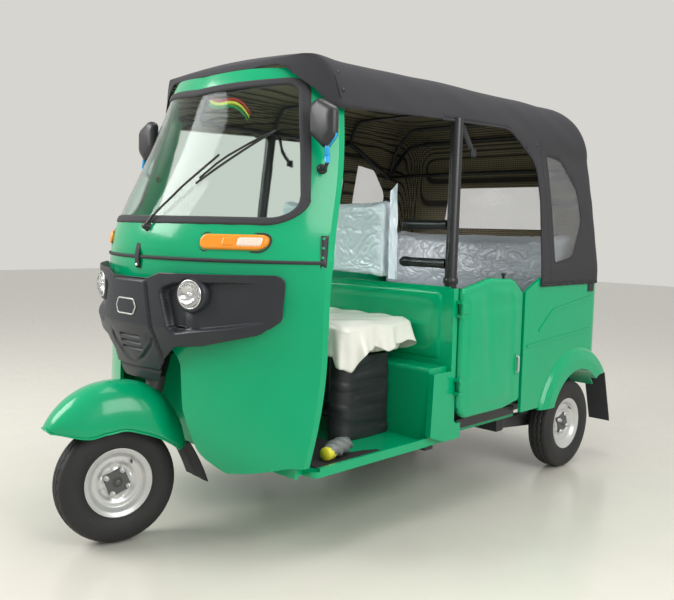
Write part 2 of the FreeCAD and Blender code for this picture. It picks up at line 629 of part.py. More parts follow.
def engine_lid():
    g = MIN_CLEAR
    lid = prism([(-REAR_LID_HALF + g, REAR_LID_LOW + g, 30.0), (REAR_LID_HALF - g, REAR_LID_LOW + g, 30.0),
                 (REAR_LID_HALF - g, REAR_LID_HIGH - g, 10.0),
                 (-REAR_LID_HALF + g, REAR_LID_HIGH - g, 10.0)],
                "xz", TAIL_Y - WALL, TAIL_Y)
    hood = prism([(TAIL_Y - 4.0, 0.0, 0.0), (TAIL_Y + 9.0, 2.0, 0.0), (TAIL_Y + 9.0, 6.0, 0.0),
                  (TAIL_Y - 4.0, 18.0, 0.0)],
                 "yz", -LOUVRE_HALF, LOUVRE_HALF)
    for i in range(LOUVRES):
        z = REAR_LID_LOW + 50.0 + i * LOUVRE_PITCH
        lid = lid.cut(box(-LOUVRE_HALF, LOUVRE_HALF, TAIL_Y - 40.0, TAIL_Y + 40.0, z, z + 10.0))
        cover = hood.copy()
        cover.translate(V(0, 0, z + 4.0))
        lid = lid.fuse(cover)
    handle = bent_rod([(-60.0, TAIL_Y - 2.0, REAR_LID_LOW + 26.0),
                       (-60.0, TAIL_Y + 26.0, REAR_LID_LOW + 26.0),
                       (60.0, TAIL_Y + 26.0, REAR_LID_LOW + 26.0),
                       (60.0, TAIL_Y - 2.0, REAR_LID_LOW + 26.0)], 6.0, 12.0)
    lid = lid.fuse(handle)
    for x in LID_HINGE_X:
        leaf = box(x - 30.0, x + 30.0, TAIL_Y, TAIL_Y + 4.0, LID_HINGE_Z - 40.0, LID_HINGE_Z)
        barrel = rod((x - 30.0, LID_HINGE_Y, LID_HINGE_Z), (x + 30.0, LID_HINGE_Y, LID_HINGE_Z),
                     HINGE_BARREL)
        bore = rod((x - 31.0, LID_HINGE_Y, LID_HINGE_Z), (x + 31.0, LID_HINGE_Y, LID_HINGE_Z),
                   HINGE_PIN + RUN_GAP)
        for a in (x - LUG_REACH, x + LUG_REACH - LUG_WIDTH):
            lid = lid.cut(box(a - g, a + LUG_WIDTH + g, TAIL_Y - WALL - 1.0, TAIL_Y + 1.0,
                              LID_HINGE_Z - HINGE_BARREL - g, REAR_LID_HIGH))
        lid = lid.fuse(leaf.fuse(barrel).cut(bore))
    return lid


# Doors: pressed panels with a domed top, hung at their front edge
DOOR_OUT = BODY_HALF_WIDTH - 3.0
DOOR_THICKNESS = 22.0
DOOR_PROFILE = [(DOOR_FRONT_Y, 398.0, 60.0), (DOOR_FRONT_Y, 874.0, 16.0), (1300.0, 914.0, 160.0),
                (1470.0, 906.0, 60.0), (DOOR_REAR_Y, 844.0, 10.0), (DOOR_REAR_Y, 384.0, 20.0),
                (1420.0, 364.0, 60.0), (1150.0, 364.0, 60.0)]
HINGE_X = DOOR_OUT + 8.0
HINGE_Y = DOOR_FRONT_Y - 8.0
HINGE_HEIGHTS = [500.0, 800.0]
HINGE_HALF = 20.0


DOOR_FIELD_PROUD = 3.0
DOOR_FIELD = [(1150.0, 440.0, 50.0), (1150.0, 838.0, 30.0), (1302.0, 880.0, 130.0), (1456.0, 872.0, 60.0),
              (1508.0, 806.0, 40.0), (1508.0, 428.0, 40.0), (1410.0, 406.0, 60.0), (1200.0, 406.0, 60.0)]
DOOR_PAN = [(1130.0, 418.0, 50.0), (1130.0, 852.0, 20.0), (1302.0, 890.0, 150.0), (1462.0, 882.0, 60.0),
            (1524.0, 826.0, 20.0), (1524.0, 404.0, 20.0), (1416.0, 388.0, 60.0), (1176.0, 388.0, 60.0)]
KNOB_Y = 1400.0
LATCH_Y = 1503.0
LATCH_Z = 546.0


def door():
    """Pressed pan with deep rolled edges, a raised field, a latch handle and a lock knob on its top."""
    panel = prism(DOOR_PROFILE, "yz", DOOR_OUT - DOOR_THICKNESS, DOOR_OUT)
    panel = panel.cut(prism(DOOR_PAN, "yz", DOOR_OUT - DOOR_THICKNESS - 1.0, DOOR_OUT - SKIN))
    panel = panel.fuse(prism(DOOR_FIELD, "yz", DOOR_OUT - 1.0, DOOR_OUT + DOOR_FIELD_PROUD))
    middle = DOOR_OUT - DOOR_THICKNESS / 2.0
    knob = rod((middle, KNOB_Y, 892.0), (middle, KNOB_Y, 930.0), 5.0).fuse(
        rod((middle, KNOB_Y, 922.0), (middle, KNOB_Y, 934.0), 10.0))
    latch = bent_rod([(DOOR_OUT, LATCH_Y, LATCH_Z - 34.0), (DOOR_OUT + 16.0, LATCH_Y, LATCH_Z - 34.0),
                      (DOOR_OUT + 16.0, LATCH_Y, LATCH_Z + 34.0), (DOOR_OUT, LATCH_Y, LATCH_Z + 34.0)], 4.0,
                      8.0)
    panel = panel.fuse([knob, latch])
    for z in HINGE_HEIGHTS:
        low = z - HINGE_HALF
        high = z + HINGE_HALF
        leaf = box(DOOR_OUT, DOOR_OUT + 4.0, HINGE_Y, HINGE_Y + 40.0, low, high)
        barrel = rod((HINGE_X, HINGE_Y, low), (HINGE_X, HINGE_Y, high), HINGE_BARREL)
        bore = rod((HINGE_X, HINGE_Y, low - 1.0), (HINGE_X, HINGE_Y, high + 1.0), HINGE_PIN + RUN_GAP)
        panel = panel.fuse(leaf.fuse(barrel).cut(bore))
    return panel


def hinge_lugs():
    """Pins and lugs on the body that the door swings on."""
    lugs = []
    for z in HINGE_HEIGHTS:
        reach = HINGE_HALF + 12.0
        pin = rod((HINGE_X, HINGE_Y, z - reach), (HINGE_X, HINGE_Y, z + reach), HINGE_PIN)
        lugs.append(pin)
        for a, b in ((HINGE_HALF + 0.5, reach), (-reach, -HINGE_HALF - 0.5)):
            lugs.append(box(CHEEK_OUT - 1.0, HINGE_X + 6.0, HINGE_Y - 14.0, HINGE_Y + 4.0, z + a, z + b))
    return lugs[0].fuse(lugs[1:])


def side_sills():
    """Angle section under each door, standing on the floor's edge."""
    front = CHEEK_TOE + FIT_GAP
    rear = DOOR_REAR_Y + DOOR_GAP - FIT_GAP
    low = FLOOR_TOP + FIT_GAP
    inner = FLOOR_HALF - 90.0
    outer = FLOOR_HALF + 6.0
    angle = prism([(inner, low, 0.0), (inner + 30.0, low, 0.0), (inner + 30.0, 320.0, 0.0),
                   (outer, 320.0, 0.0),
                   (outer, 356.0, 0.0), (outer - 16.0, 356.0, 0.0), (outer - 16.0, 336.0, 0.0),
                   (inner, 336.0, 0.0)],
                  "xz", front, rear)
    return both(angle)


# Pillars, hand rails and hood frame
PILLAR_RADIUS = 24.0
PILLAR_X = FLOOR_HALF - 18.0
PILLAR_FOOT = (PILLAR_X, 1098.0, FLOOR_TOP)
PILLAR_KNEE = (PILLAR_X, 1098.0, 900.0)
RAIL_Z = 1540.0
RAIL_RADIUS = 11.0
BOW_RADIUS = 9.0
PILLAR_TOP = (549.0, 1150.0, RAIL_Z - RAIL_RADIUS - 0.2)
GRAB_HEIGHTS = [1120.0, 970.0]
GRAB_RADIUS = 15.0
GRAB_INNER = BACKREST_HALF + 8.0 + GRAB_RADIUS
# Roof bows that stand on the rails: distances back, heights of their two turns
HOOD_BOWS = [700.0, 1150.0, 1690.0]
BOW_TURNS = [1612.0, 1656.0]
BOW_INSET = 20.0
# Rear bows that fan out from the pivot at the rails' rear ends: x, y, z of each turn
RAIL_KNEE_Y = 1708.0
FAN_PIVOT_Y = 2027.0
FAN_PIVOT_Z = 1386.0
FAN_INSET = 8.0
FAN_BEND = 100.0
FAN_BOWS = [[(508.0, 2040.0, 1545.0), (400.0, 2024.0, 1640.0)],
            [(500.0, 2126.0, 1556.0), (420.0, 2206.0, 1584.0)],
            [(542.0, 2253.0, 1412.0)]]


def pillar_form(grow):
    r = PILLAR_RADIUS + grow
    lower = rod(PILLAR_FOOT, PILLAR_KNEE, r)
    upper = rod(PILLAR_KNEE, PILLAR_TOP, r)
    return lower.fuse([upper, Part.makeSphere(r, V(*PILLAR_KNEE))])


def side_pillars():
    return both(pillar_form(0.0))


def pillar_at(z):
    share = (z - PILLAR_KNEE[2]) / (PILLAR_TOP[2] - PILLAR_KNEE[2])
    x = PILLAR_KNEE[0] + (PILLAR_TOP[0] - PILLAR_KNEE[0]) * share
    y = PILLAR_KNEE[1] + (PILLAR_TOP[1] - PILLAR_KNEE[1]) * share
    return x, y


def grab_rails():
    """Short hand bars, two on each pillar, pointing at the middle of the cab with round ends."""
    rails = []
    for z in GRAB_HEIGHTS:
        x, y = pillar_at(z)
        rail = rod((GRAB_INNER, y, z), (x, y, z), GRAB_RADIUS).fuse(
            Part.makeSphere(GRAB_RADIUS, V(GRAB_INNER, y, z)))
        rail = rail.cut(pillar_form(FIT_GAP))
        rails.extend([rail, mirrored(rail)])
    return group(*rails)


# Hood plan at each height: z, nose y, corner y, half width in front and behind, bulge, tail y, radius
HOOD_WALL = 8.0
HOOD_LAP = FIT_GAP + HOOD_WALL
HOOD_HEM_Z = 866.0
HOOD_HALF = BODY_HALF_WIDTH + HOOD_LAP
HOOD_SIDES = [(HOOD_HEM_Z, 200.0, 520.0, HOOD_HALF, HOOD_HALF, 0.1, TAIL_Y + HOOD_LAP,
               TAIL_CORNER_RADIUS + HOOD_LAP),
              (936.0, 200.0, 520.0, HOOD_HALF, HOOD_HALF, 0.1, TAIL_Y + HOOD_LAP,
               TAIL_CORNER_RADIUS + HOOD_LAP),
              (1240.0, 230.0, 548.0, 600.0, 604.0, 6.0, 2265.0, 110.0),
              (1448.0, 341.0, 541.0, 522.0, 561.0, 24.0, 2283.0, 120.0)]
# Shoulder: an ellipse from the eaves up to the crown, drawn in at the sides, nose and tail
SHOULDER_TOP = 1676.0
SHOULDER_SIDE = 110.0
SHOULDER_NOSE = 80.0
SHOULDER_TAIL = 210.0
SHOULDER_CORNER = 60.0
SHOULDER_STEPS = 6
CROWN_SIDE = 260.0
CROWN_NOSE = 120.0
CROWN_TAIL = 300.0
CROWN_STEPS = 3


def hood_rows(wall):
    """Plan rows of the hood's outside, or of its inside at the wall's depth."""
    rows = []
    for z, nose_y, corner_y, front, rear, bulge, tail_y, radius in HOOD_SIDES[:-1]:
        rows.append((z, nose_y + wall, corner_y + wall, front - wall, rear - wall, bulge, tail_y - wall,
                     radius - wall))
    z, nose_y, corner_y, front, rear, bulge, tail_y, radius = HOOD_SIDES[-1]
    rise = SHOULDER_TOP - z - wall
    for i in range(SHOULDER_STEPS + 1):
        turn = math.pi / 2.0 * i / SHOULDER_STEPS
        skin = wall * math.cos(turn)
        e = 1.0 - math.cos(turn)
        rows.append((z + rise * math.sin(turn), nose_y + skin + SHOULDER_NOSE * e,
                     corner_y + skin - SHOULDER_CORNER * e,
                     front - skin - SHOULDER_SIDE * e, rear - skin - SHOULDER_SIDE * e, bulge,
                     tail_y - skin - SHOULDER_TAIL * e, radius - skin))
    z, nose_y, corner_y, front, rear, bulge, tail_y, radius = rows[-1]
    for i in range(1, CROWN_STEPS + 1):
        t = i / CROWN_STEPS
        rows.append((z + (ROOF_TOP - SHOULDER_TOP) * (2.0 * t - t * t), nose_y + CROWN_NOSE * t,
                     corner_y + CROWN_NOSE * t,
                     front - CROWN_SIDE * t, rear - CROWN_SIDE * t, bulge, tail_y - CROWN_TAIL * t, radius))
    return rows


def hood_wire(z, nose_y, corner_y, front, rear, bulge, tail_y, radius):
    s = radius * (1.0 - math.sqrt(0.5))
    mid_x = (front + rear) / 2.0 + bulge
    mid_y = (corner_y + tail_y - radius) / 2.0
    turn_y = tail_y - radius
    flat = rear - radius
    edges = [Part.Arc(V(front, corner_y, z), V(0, nose_y, z), V(-front, corner_y, z)).toShape(),
             Part.Arc(V(-front, corner_y, z), V(-mid_x, mid_y, z), V(-rear, turn_y, z)).toShape(),
             Part.Arc(V(-rear, turn_y, z), V(-rear + s, tail_y - s, z), V(-flat, tail_y, z)).toShape(),
             Part.LineSegment(V(-flat, tail_y, z), V(flat, tail_y, z)).toShape(),
             Part.Arc(V(flat, tail_y, z), V(rear - s, tail_y - s, z), V(rear, turn_y, z)).toShape(),
             Part.Arc(V(rear, turn_y, z), V(mid_x, mid_y, z), V(front, corner_y, z)).toShape()]
    return Part.Wire(edges)


def hood_form(wall):
    return Part.makeLoft([hood_wire(*row) for row in hood_rows(wall)], True, True)


def hood_inside(z, y):
    """Half width of the hood's inside at a height and a distance back."""
    rows = hood_rows(HOOD_WALL)
    i = 0
    while i < len(rows) - 2 and rows[i + 1][0] < z:
        i += 1
    share = (z - rows[i][0]) / (rows[i + 1][0] - rows[i][0])
    halves = []
    for row in rows[i:i + 2]:
        t = (y - row[2]) / (row[6] - row[7] - row[2])
        halves.append(row[3] + (row[4] - row[3]) * t + row[5] * 4.0 * t * (1.0 - t))
    return halves[0] + (halves[1] - halves[0]) * share


SIDE_OPENING = [(200.0, 700.0, 0.0), (200.0, 1496.0, 0.0), (500.0, 1497.0, 0.0), (1050.0, 1518.0, 0.0),
                (1500.0, 1528.0, 150.0), (1700.0, 1400.0, 120.0), (1700.0, 1230.0, 0.0),
                (1668.0, 920.0, 0.0),
                (1668.0, 700.0, 0.0)]
SIDE_WINDOW = [(1780.0, 966.0, 10.0), (1790.0, 1442.0, 10.0), (1925.0, 1424.0, 50.0),
               (2040.0, 1300.0, 100.0),
               (2056.0, 1150.0, 90.0), (1940.0, 990.0, 80.0)]
REAR_WINDOW = [(-330.0, 1114.0, 30.0), (330.0, 1114.0, 30.0), (300.0, 1333.0, 30.0), (-300.0, 1333.0, 30.0)]
HEADER_EDGE = [(510.0, 1484.0, 0.0), (444.0, 1560.0, 30.0), (322.0, 1650.0, 50.0), (0.0, 1630.0, 0.0)]


def header_line(drop):
    """Front view of the line between header and hood, moved down by a drop."""
    left = [(x, z - drop, r) for x, z, r in HEADER_EDGE]
    return left + [(-x, z, r) for x, z, r in reversed(left[:-1])]


def canopy_skin():
    skin = hood_form(0.0).cut(hood_form(HOOD_WALL))
    front = [(700.0, 1484.0, 0.0)] + header_line(0.0)
    front += [(-700.0, 1484.0, 0.0), (-700.0, 800.0, 0.0), (700.0, 800.0, 0.0)]
    skin = skin.cut(prism(SIDE_OPENING, "yz", -720.0, 720.0))
    skin = skin.cut(prism(front, "xz", 100.0, 640.0))
    skin = skin.cut(prism(SIDE_WINDOW, "yz", -720.0, 720.0))
    skin = skin.cut(prism(REAR_WINDOW, "xz", 2000.0, 2400.0))
    return skin.cut(both(pillar_form(FIT_GAP)))


def canopy_windows():
    pane = hood_form(2.0).cut(hood_form(HOOD_WALL - 2.0))
    side = pane.common(prism(SIDE_WINDOW, "yz", 300.0, 720.0))
    rear = pane.common(prism(REAR_WINDOW, "xz", 2000.0, 2400.0))
    return group(side, mirrored(side), rear)


def rail_x(y):
    return hood_inside(RAIL_Z, y) - RAIL_RADIUS - 2.0


def canopy_frame():
    """Side rails down to their rear pivots, roof bows on the rails, and the fan of rear bows."""
    pivot = (hood_inside(FAN_PIVOT_Z, FAN_PIVOT_Y) - RAIL_RADIUS - FAN_INSET, FAN_PIVOT_Y, FAN_PIVOT_Z)
    line = [(rail_x(y), y, RAIL_Z) for y in (600.0, PILLAR_TOP[1], RAIL_KNEE_Y)]
    rail = bent_rod(line + [pivot], RAIL_RADIUS, 200.0)
    eye = rod((pivot[0] - 12.0, FAN_PIVOT_Y, FAN_PIVOT_Z),
              (pivot[0] + RAIL_RADIUS, FAN_PIVOT_Y, FAN_PIVOT_Z), 16.0)
    frame = rail.fuse([mirrored(rail), eye, mirrored(eye)])
    for turns in FAN_BOWS:
        left = [pivot] + turns
        right = [(-x, y, z) for x, y, z in reversed(left)]
        frame = frame.fuse(bent_rod(left + right, BOW_RADIUS, FAN_BEND))
    for y in HOOD_BOWS:
        left = [(rail_x(y), y, RAIL_Z)]
        for z in BOW_TURNS:
            left.append((hood_inside(z, y) - BOW_INSET, y, z))
        right = [(-x, v, z) for x, v, z in reversed(left)]
        frame = frame.fuse(bent_rod(left + right, BOW_RADIUS, 60.0))
    return frame


def mirrors():
    base = rod((480.0, 484.0, 1290.0), (530.0, 452.0, 1290.0), 14.0)
    base = base.cut(curved_front(SCREEN_SECTIONS, -FIT_GAP, 300.0))
    stalk = bent_rod([(520.0, 457.0, 1290.0), (548.0, 450.0, 1294.0), (548.0, 450.0, 1380.0)], 7.0, 12.0)
    head = prism([(466.0, 1400.0, 20.0), (540.0, 1352.0, 20.0), (580.0, 1396.0, 20.0), (580.0, 1480.0, 24.0),
                  (500.0, 1522.0, 20.0), (466.0, 1508.0, 20.0)], "xz", 432.0, 466.0)
    return both(base.fuse(stalk).fuse(head))


# Tail: lamps, bumper bar, mud flaps
# Tail lamps, bumper and flaps
TAIL_LAMP_X = BODY_HALF_WIDTH - 200.0
TAIL_LAMP_WIDTH = 90.0
TAIL_LAMP_HEIGHT = 140.0
TAIL_LAMP_DEPTH = 34.0
TAIL_LAMP_LOW = 690.0
BUMPER_Y = 2310.0
BUMPER_Z = 372.0
BUMPER_HALF = 500.0
FLAP_LOW = 165.0


def tail_lamps():
    lamp = box(TAIL_LAMP_X, TAIL_LAMP_X + TAIL_LAMP_WIDTH, TAIL_Y + FIT_GAP, TAIL_Y + TAIL_LAMP_DEPTH,
               TAIL_LAMP_LOW, TAIL_LAMP_LOW + TAIL_LAMP_HEIGHT)
    return both(lamp)


def rear_bumper():
    """Tail bar on two stays from the frame rails."""
    y = BUMPER_Y
    z = BUMPER_Z
    bar = bent_rod([(-BUMPER_HALF, 2262.0, z), (-BUMPER_HALF, y, z), (BUMPER_HALF, y, z),
                    (BUMPER_HALF, 2262.0, z)], 19.0, 30.0)
    stay = bent_rod([(265.0, 2180.0 + FIT_GAP, 245.0), (265.0, 2240.0, 245.0), (265.0, y, z)], 12.0, 30.0)
    return bar.fuse([stay, mirrored(stay)])


def rear_mudflaps():
    top = FLARE_REAR_LOW - FIT_GAP
    flap = prism([(2300.0, top, 0.0), (2308.0, top, 0.0), (2388.0, FLAP_LOW, 0.0), (2380.0, FLAP_LOW, 0.0)],
                 "yz", BODY_HALF_WIDTH - 95.0, FLARE_X - 8.0)
    return both(flap)


# Running gear
RAIL_X = 240.0
FRAME_LOW = 200.0
# Cross members of the frame: front face, half width
CROSS_MEMBERS = [(560.0, 470.0), (1080.0, 500.0), (1560.0, 520.0), (2130.0, 500.0)]
ARM_X = 440.0
ARM_WIDTH = 50.0
ARM_PIVOT_RADIUS = 26.0
ARM_PIVOT_Y = CROSS_MEMBERS[2][0] + 50.0 + FIT_GAP + ARM_PIVOT_RADIUS
ARM_PIVOT_Z = 240.0


def chassis_frame():
    top = FLOOR_TOP - FLOOR_THICKNESS - FIT_GAP
    rail = box(RAIL_X, RAIL_X + 50.0, 560.0, 2180.0, FRAME_LOW, top)
    frame = rail.fuse(mirrored(rail))
    for y, half in CROSS_MEMBERS:
        frame = frame.fuse(box(-half, half, y, y + 50.0, FRAME_LOW + 20.0, top))
    return frame


RAKE = math.tan(math.radians(RAKE_DEG))


def axis_point(z, dx=0.0):
    return (dx, STEER_OFFSET_Y + (z - TYRE_RADIUS) * RAKE, z)


def head_tube():
    tube = sleeve(axis_point(HEAD_TUBE_LOW), axis_point(HEAD_TUBE_HIGH), HEAD_TUBE_RADIUS, STEM_RADIUS + 1.0)
    stay = prism([(BULKHEAD_Y - FIT_GAP, 640.0, 0.0), (BULKHEAD_Y - FIT_GAP, 860.0, 0.0),
                  (axis_point(860.0)[1] + 10.0, 860.0, 0.0), (axis_point(640.0)[1] + 10.0, 640.0, 0.0)],
                 "yz", -60.0, 60.0)
    keep_out = rod(axis_point(HEAD_TUBE_LOW), axis_point(HEAD_TUBE_HIGH), HEAD_TUBE_RADIUS)
    return tube.fuse(stay.cut(keep_out))


LEG_X = -72.0
COLLAR_RADIUS = 34.0


def steering_fork():
    """Stem, crown and one leg on the wheel's right, with the trailing link and stub axle."""
    stem = rod(axis_point(428.0), axis_point(STEM_TOP), STEM_RADIUS)
    collar = rod(axis_point(480.0), axis_point(HEAD_TUBE_LOW - 1.0), COLLAR_RADIUS)
    leg = bent_rod([axis_point(436.0), (LEG_X, 118.0, 430.0), (LEG_X, 150.0, 232.0)], 12.0, 24.0)
    knuckle = rod((-94.0, 150.0, 232.0), (-60.0, 150.0, 232.0), 26.0)
    link = prism([(178.0, 214.0, 20.0), (178.0, 252.0, 18.0), (-30.0, 236.0, 24.0), (-30.0, 184.0, 24.0)],
                 "yz", -92.0, -70.0)
    axle = rod((-92.0, 0.0, TYRE_RADIUS), (30.0, 0.0, TYRE_RADIUS), AXLE_RADIUS)
    damper = rod((LEG_X, 40.0, 232.0), (LEG_X, 100.0, 424.0), 10.0)
    return stem.fuse([collar, leg, knuckle, link, axle, damper])


def fender_section(angle_deg, crown, half, depth, skin):
    """Arched cross-section at an angle round the wheel: crown radius, half width, side depth."""
    a = math.radians(angle_deg)
    radial = V(0, math.cos(a), math.sin(a))
    centre = V(0, 0, TYRE_RADIUS)
    def at(x, r):
        return centre + radial * r + V(x, 0, 0)
    h = half - skin
    top = crown - skin
    side = crown - depth
    mid = crown - depth * 0.30 - skin
    pts = [at(-h, side), at(-h * 0.80, mid), at(0, top), at(h * 0.80, mid), at(h, side)]
    return Part.Wire([Part.LineSegment(pts[0], pts[1]).toShape(),
                      Part.Arc(pts[1], pts[2], pts[3]).toShape(),
                      Part.LineSegment(pts[3], pts[4]).toShape(),
                      Part.LineSegment(pts[4], pts[0]).toShape()])


# Angle round the wheel from the rear, crown radius, half width, side depth
FENDER = [(138.0, 316.0, 48.0, 20.0), (130.0, 326.0, 78.0, 88.0), (106.0, 348.0, 104.0, 156.0),
          (88.0, 352.0, 106.0, 162.0), (70.0, 349.0, 106.0, 164.0), (44.0, 308.0, 102.0, 108.0),
          (27.0, 270.0, 101.0, 50.0)]


def front_fender():
    outer = Part.makeLoft([fender_section(a, c, h, d, 0.0) for a, c, h, d in FENDER], True, False)
    inner = Part.makeLoft([fender_section(a, c, h, d + 8.0, SKIN) for a, c, h, d in FENDER], True, False)
    hole = rod(axis_point(440.0), axis_point(640.0), COLLAR_RADIUS + FIT_GAP)
    return outer.cut(inner).cut(hole)


def tyre():
    r0 = BEAD_RADIUS
    w = TYRE_WIDTH / 2.0
    b = RIM_WIDTH / 2.0 - RIM_SKIN - FIT_GAP
    pts = [(-b, r0), (-b, RIM_FLANGE_RADIUS + 4.0), (-w, 152.0), (-w + 3.0, 172.0), (-w + 12.0, 198.0),
           (-w + 22.0, 205.0), (0.0, TYRE_RADIUS), (w - 22.0, 205.0), (w - 12.0, 198.0), (w - 3.0, 172.0),
           (w, 152.0), (b, RIM_FLANGE_RADIUS + 4.0), (b, r0)]
    vs = [V(x, 0, TYRE_RADIUS + r) for x, r in pts]
    face = Part.Face(Part.makePolygon(vs + [vs[0]]))
    return face.revolve(V(0, 0, TYRE_RADIUS), V(1, 0, 0), 360)


def rim(side):
    """Pressed steel rim with a dished disc and a hub; side is +1 where the dish faces +x."""
    s = RIM_SKIN
    b = RIM_WIDTH / 2.0
    f = RIM_FLANGE_RADIUS
    r0 = BEAD_RADIUS - FIT_GAP
    pts = [(-b, f), (-b, r0 - s), (-b + 16.0, r0 - s), (-b + 22.0, 84.0), (b - 22.0, 84.0),
           (b - 16.0, r0 - s), (b, r0 - s), (b, f), (b - s, f), (b - s, r0), (b - 19.0, r0),
           (b - 25.0, 84.0 + s), (-b + 25.0, 84.0 + s), (-b + 19.0, r0), (-b + s, r0), (-b + s, f)]
    hub = [(-30.0, AXLE_RADIUS + FIT_GAP), (34.0, AXLE_RADIUS + FIT_GAP), (34.0, HUB_RADIUS - 8.0),
           (28.0, HUB_RADIUS), (12.0, HUB_RADIUS + 6.0), (6.0, 58.0), (16.0, 66.0), (16.0, 86.0),
           (10.0, 86.0), (10.0, 68.0), (0.0, 60.0), (2.0, HUB_RADIUS + 2.0), (-30.0, HUB_RADIUS)]
    solids = []
    for table in (pts, hub):
        vs = [V(side * x, 0, TYRE_RADIUS + r) for x, r in table]
        face = Part.Face(Part.makePolygon(vs + [vs[0]]))
        solids.append(face.revolve(V(0, 0, TYRE_RADIUS), V(1, 0, 0), 360))
    return solids[0].fuse(solids[1])


def shifted(shape, x, y):
    moved = shape.copy()
    moved.translate(V(x, y, 0))
    return moved


def trailing_arms():
    """Swinging arms that carry the rear stub axles."""
    y = WHEELBASE
    x = REAR_TRACK / 2.0
    arm = prism([(ARM_PIVOT_Y, ARM_PIVOT_Z - 22.0, 0.0), (ARM_PIVOT_Y, ARM_PIVOT_Z + 22.0, 0.0),
                 (y + 40.0, TYRE_RADIUS + 30.0, 20.0), (y + 40.0, TYRE_RADIUS - 30.0, 20.0)],
                "yz", ARM_X, ARM_X + ARM_WIDTH)
    barrel = rod((ARM_X - 10.0, ARM_PIVOT_Y, ARM_PIVOT_Z), (ARM_X + ARM_WIDTH + 10.0, ARM_PIVOT_Y,
                                                            ARM_PIVOT_Z),
                 ARM_PIVOT_RADIUS)
    axle = rod((ARM_X, y, TYRE_RADIUS), (x + 30.0, y, TYRE_RADIUS), AXLE_RADIUS)
    drum = rod((x - 92.0, y, TYRE_RADIUS), (x - 36.0, y, TYRE_RADIUS), 76.0)
    return both(arm.fuse([barrel, axle, drum]))


def rear_shocks():
    """Coil-over dampers from the arms up to the seat platform."""
    low = V(ARM_X + ARM_WIDTH / 2.0, 1950.0, 246.0)
    high = V(ARM_X + ARM_WIDTH / 2.0, 1926.0, SEAT_PLATE_Z - 1.6)
    body = rod((low.x, low.y, low.z), (high.x, high.y, high.z), 20.0)
    floor = box(300.0, 600.0, 1800.0, 2200.0, 0.0, 247.6)
    return both(body.cut(floor))


ENGINE_REAR = 2156.0


def engine_block():
    low = FLOOR_TOP - FLOOR_THICKNESS - FIT_GAP
    rear = ENGINE_REAR
    return prism([(1800.0, low, 30.0), (rear, low, 0.0), (rear, 560.0, 30.0), (1900.0, 590.0, 40.0),
                  (1800.0, 480.0, 30.0)], "yz", -190.0, 190.0)


def exhaust():
    r = 44.0
    y = ENGINE_REAR + FIT_GAP + r
    return rod((230.0, y, 330.0), (-120.0, y, 330.0), r)


def handlebar():
    top = axis_point(STEM_TOP + 16.0)
    y = top[1]
    z = top[2]
    left = [(0.0, y, z), (110.0, y + 14.0, z + 6.0), (268.0, y + 100.0, z + 6.0)]
    right = [(-x, v, w) for x, v, w in reversed(left[1:])]
    bar = bent_rod(right + left[1:], 11.0, 60.0)
    clamp = rod(axis_point(STEM_TOP + FIT_GAP), axis_point(STEM_TOP + 24.0), 24.0)
    grips = [rod((s * 168.0, y + 45.57, z + 6.0), (s * 268.0, y + 100.0, z + 6.0), 16.0) for s in (-1, 1)]
    return bar.fuse([clamp] + grips)


def front_mudflap():
    """Rubber flap hung from the fender's rear end."""
    angle = math.radians(FENDER[-1][0])
    drop = V(0, math.sin(angle), -math.cos(angle))
    middle = V(0, 0, TYRE_RADIUS) + V(0, math.cos(angle), math.sin(angle)) * (FENDER[-1][1] - 20.0)
    top = middle + drop * FIT_GAP
    low = top + V(0, 70.0, -150.0)
    across = V(0, math.cos(angle), math.sin(angle)) * 3.0
    quad = [top - across, top + across, low + across, low - across]
    return Part.Face(Part.makePolygon([q + V(-98.0, 0, 0) for q in quad + [quad[0]]])).extrude(V(196.0, 0,
                                                                                                 0))


NODES = {}
NODES["chassis_frame"] = chassis_frame()
NODES["floor_pan"] = floor_pan()
NODES["floor_mats"] = floor_mats()
NODES["front_bulkhead"] = front_bulkhead()
NODES["head_tube"] = head_tube()
NODES["dashboard"] = dashboard()
NODES["front_cowl"] = front_cowl()
NODES["windscreen_surround"] = windscreen_surround()
NODES["windscreen_seal"] = windscreen_seal()
NODES["windscreen_glass"] = windscreen_glass()
NODES["wiper"] = wiper()
NODES["cowl_trim"] = cowl_trim()
NODES["nose_fascia"] = nose_fascia()
NODES["headlamps"] = headlamps()
NODES["turn_indicators"] = turn_indicators()
NODES["mirrors"] = mirrors()
NODES["partition_panel"] = partition_panel()
NODES["driver_seat_base"] = driver_seat_base()
NODES["driver_cushion"] = driver_cushion()
NODES["driver_backrest"] = driver_backrest()
NODES["side_pillars"] = side_pillars()
NODES["grab_rails"] = grab_rails()
NODES["side_sills"] = side_sills()
SIDE = side_panel()
NODES["side_panel_left"] = SIDE
NODES["side_panel_right"] = mirrored(SIDE)
NODES["rear_panel"] = rear_panel()
NODES["engine_lid"] = engine_lid()
DOOR = door()
NODES["door_left"] = DOOR
NODES["door_right"] = mirrored(DOOR)
NODES["passenger_seat_base"] = passenger_seat_base()
NODES["passenger_cushion"] = passenger_cushion()
NODES["passenger_backrest"] = passenger_backrest()
NODES["canopy_skin"] = canopy_skin()
NODES["canopy_frame"] = canopy_frame()
NODES["canopy_windows"] = canopy_windows()
NODES["tail_lamps"] = tail_lamps()
NODES["rear_bumper"] = rear_bumper()
NODES["rear_mudflaps"] = rear_mudflaps()
NODES["trailing_arms"] = trailing_arms()
NODES["rear_shocks"] = rear_shocks()
NODES["engine_block"] = engine_block()
NODES["exhaust"] = exhaust()
STEERED = {"steering_fork": steering_fork(), "front_fender": front_fender(),
           "front_mudflap": front_mudflap(), "handlebar": handlebar(),
           "front_rim": rim(1), "front_tyre": tyre()}
